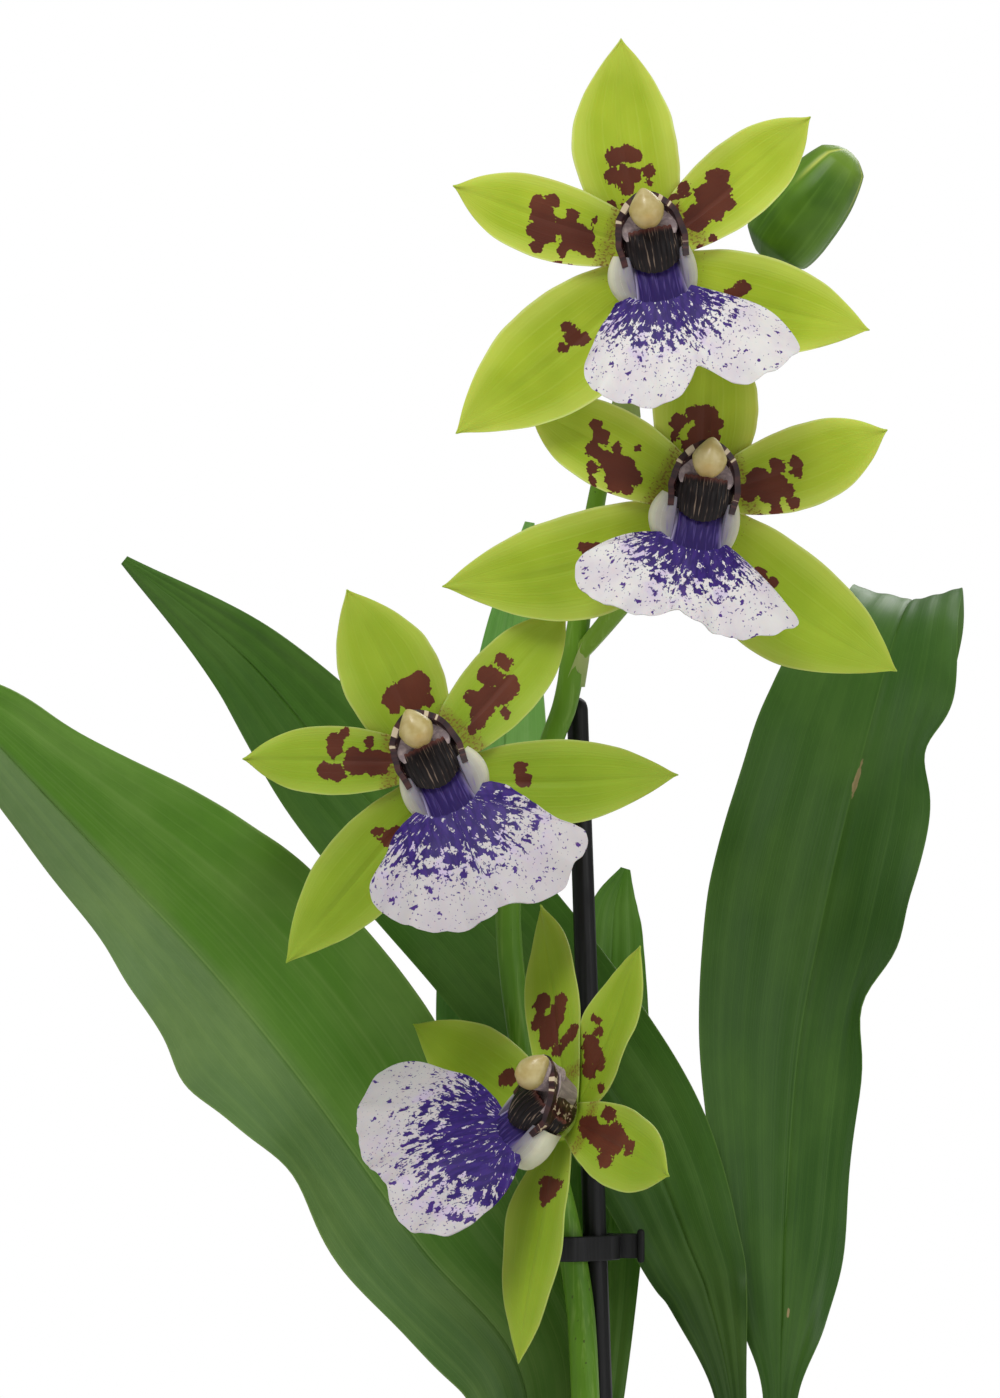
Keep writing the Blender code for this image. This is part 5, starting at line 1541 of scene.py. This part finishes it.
def hood_edge(q, half, tall, low):
    """Right, up and wing share of the hood's outline, q from its left wing to its right."""
    if WING_SHARE < q < 1 - WING_SHARE:
        a = math.pi * (1 - (q - WING_SHARE) / (1 - 2 * WING_SHARE))
        peak = 1 - 0.1 * math.sin(a) ** 6
        return half * math.cos(a) * peak, HOOD_FOOT + tall * math.sin(a), 1 - math.sin(a)
    down = 1 - min(q, 1 - q) / WING_SHARE
    side = -1 if q < 0.5 else 1
    return side * half * (1 - 0.07 * down), HOOD_FOOT + (low - HOOD_FOOT) * down, 1.0


def add_stigma(shape, place):
    """The pale hollow under the cap and the short bed that the cap sits on."""
    for levels, foot, wide, tall in ((STIGMA_PLATE, 4.2, 5.3, 4.9), (STIGMA_BED, 6.5, 5.0, 6.0)):
        rings = []
        for n, size in levels:
            rings.append([place(wide * size * math.cos(a), foot + tall * size * math.sin(a), n)
                          for a in circle(CAP_SIDES)])
        loft(shape, rings, 3.0, 1.0, inner=1.0)


def make_cap(name, spec, material):
    """The cap on the column's end: a waxy drop with its point upwards and a crease below."""
    place = bloom_place(spec)
    rings, foot = [], []
    for k in range(CAP_STEPS + 1):
        n, u, half, tall = (smooth([level[q] for level in CAP_LEVELS], k / CAP_STEPS) for q in range(4))
        ring = []
        for a in circle(CAP_SIDES):
            point = 1 - 0.45 * max(0.0, math.sin(a))
            crease = 1 - 0.08 * math.exp(-((a - 1.5 * math.pi) / 0.22) ** 2)
            lump = 1 + 0.03 * noise.noise(Vector((math.cos(a) * 1.6, math.sin(a) * 1.6, n * 0.5)))
            ring.append(place(half * math.cos(a) * point * lump, u + tall * math.sin(a) * crease * lump, n))
        rings.append(ring)
        foot += [max(0.0, -math.sin(2 * math.pi * j / CAP_SIDES)) * 0.8 for j in range(CAP_SIDES + 1)]
    shape = Shape()
    loft(shape, rings, 1.8, 0.5)
    shape.fields["foot"] = foot
    shape.build(name, material, "cap_cream", name.replace("_fine", ""), sharp=80.0)


# Stage

def make_floor():
    """A wide pale floor."""
    bpy.ops.mesh.primitive_circle_add(vertices=FLOOR_SIDES, radius=FLOOR_RADIUS, fill_type="NGON")
    floor = bpy.context.object
    floor.name = "floor"
    floor.data.materials.append(floor_look())


def add_light(name, place, target, size, power):
    """A soft area light that the camera doesn't see."""
    data = bpy.data.lights.new(name, "AREA")
    data.shape, data.size, data.energy = "DISK", size, power
    light = bpy.data.objects.new(name, data)
    light.location = place
    light.rotation_euler = (Vector(target) - Vector(place)).to_track_quat("-Z", "Y").to_euler()
    light.visible_camera = False
    bpy.context.scene.collection.objects.link(light)


def make_stage():
    """Floor, white backdrop, soft lights and the camera of the photograph."""
    scene = bpy.context.scene
    make_floor()
    world = bpy.data.worlds.new("studio")
    world.use_nodes = True
    tree = world.node_tree
    backdrop = tree.nodes["Background"]
    backdrop.inputs["Color"].default_value = (1.0, 1.0, 1.0, 1.0)
    seen = tree.nodes.new("ShaderNodeMapRange")
    seen.inputs["To Min"].default_value = WORLD_LIGHT
    seen.inputs["To Max"].default_value = 1.0
    tree.links.new(tree.nodes.new("ShaderNodeLightPath").outputs["Is Camera Ray"], seen.inputs["Value"])
    tree.links.new(seen.outputs["Result"], backdrop.inputs["Strength"])
    scene.world = world
    for light in LIGHTS:
        add_light(*light)
    scene.view_settings.view_transform = "Standard"
    data = bpy.data.cameras.new("view")
    data.sensor_width = 36.0
    data.lens = CAMERA_LENS
    data.clip_end = 40.0
    camera = bpy.data.objects.new("view", data)
    camera.location = CAMERA_PLACE
    camera.rotation_euler = (math.radians(90.0), 0.0, 0.0)
    scene.collection.objects.link(camera)
    scene.camera = camera


def main():
    """Make every piece and the stage."""
    make_pot()
    make_bark(bark_look())
    bulb_skin = bulb_look()
    for name, spec in BULBS.items():
        make_bulb(name, spec, bulb_skin)
    for name, spec in LEAVES.items():
        make_leaf(name, spec, leaf_look(name + "_skin", *(srgb(*green) for green in LEAF_GREENS[name])))
    make_spike(stem_look())
    make_bud()
    make_stake(black_look("stake_plastic", srgb(9, 9, 10), srgb(22, 22, 24)))
    make_clip(black_look("clip_plastic", srgb(10, 10, 11), srgb(26, 26, 28)))
    looks = dict(tepals=tepal_look(), lip=lip_look(), callus=callus_look(), column=column_look(),
                 cap=cap_look())
    for name, spec in BLOOMS.items():
        make_tepals(name + "_tepals_fine", spec, STAINS[name], looks["tepals"])
        make_lip(name + "_lip_fine", spec, looks["lip"])
        make_callus(name + "_callus_fine", spec, looks["callus"])
        make_column(name + "_column_fine", spec, looks["column"])
        make_cap(name + "_cap_fine", spec, looks["cap"])
    make_stage()


main()
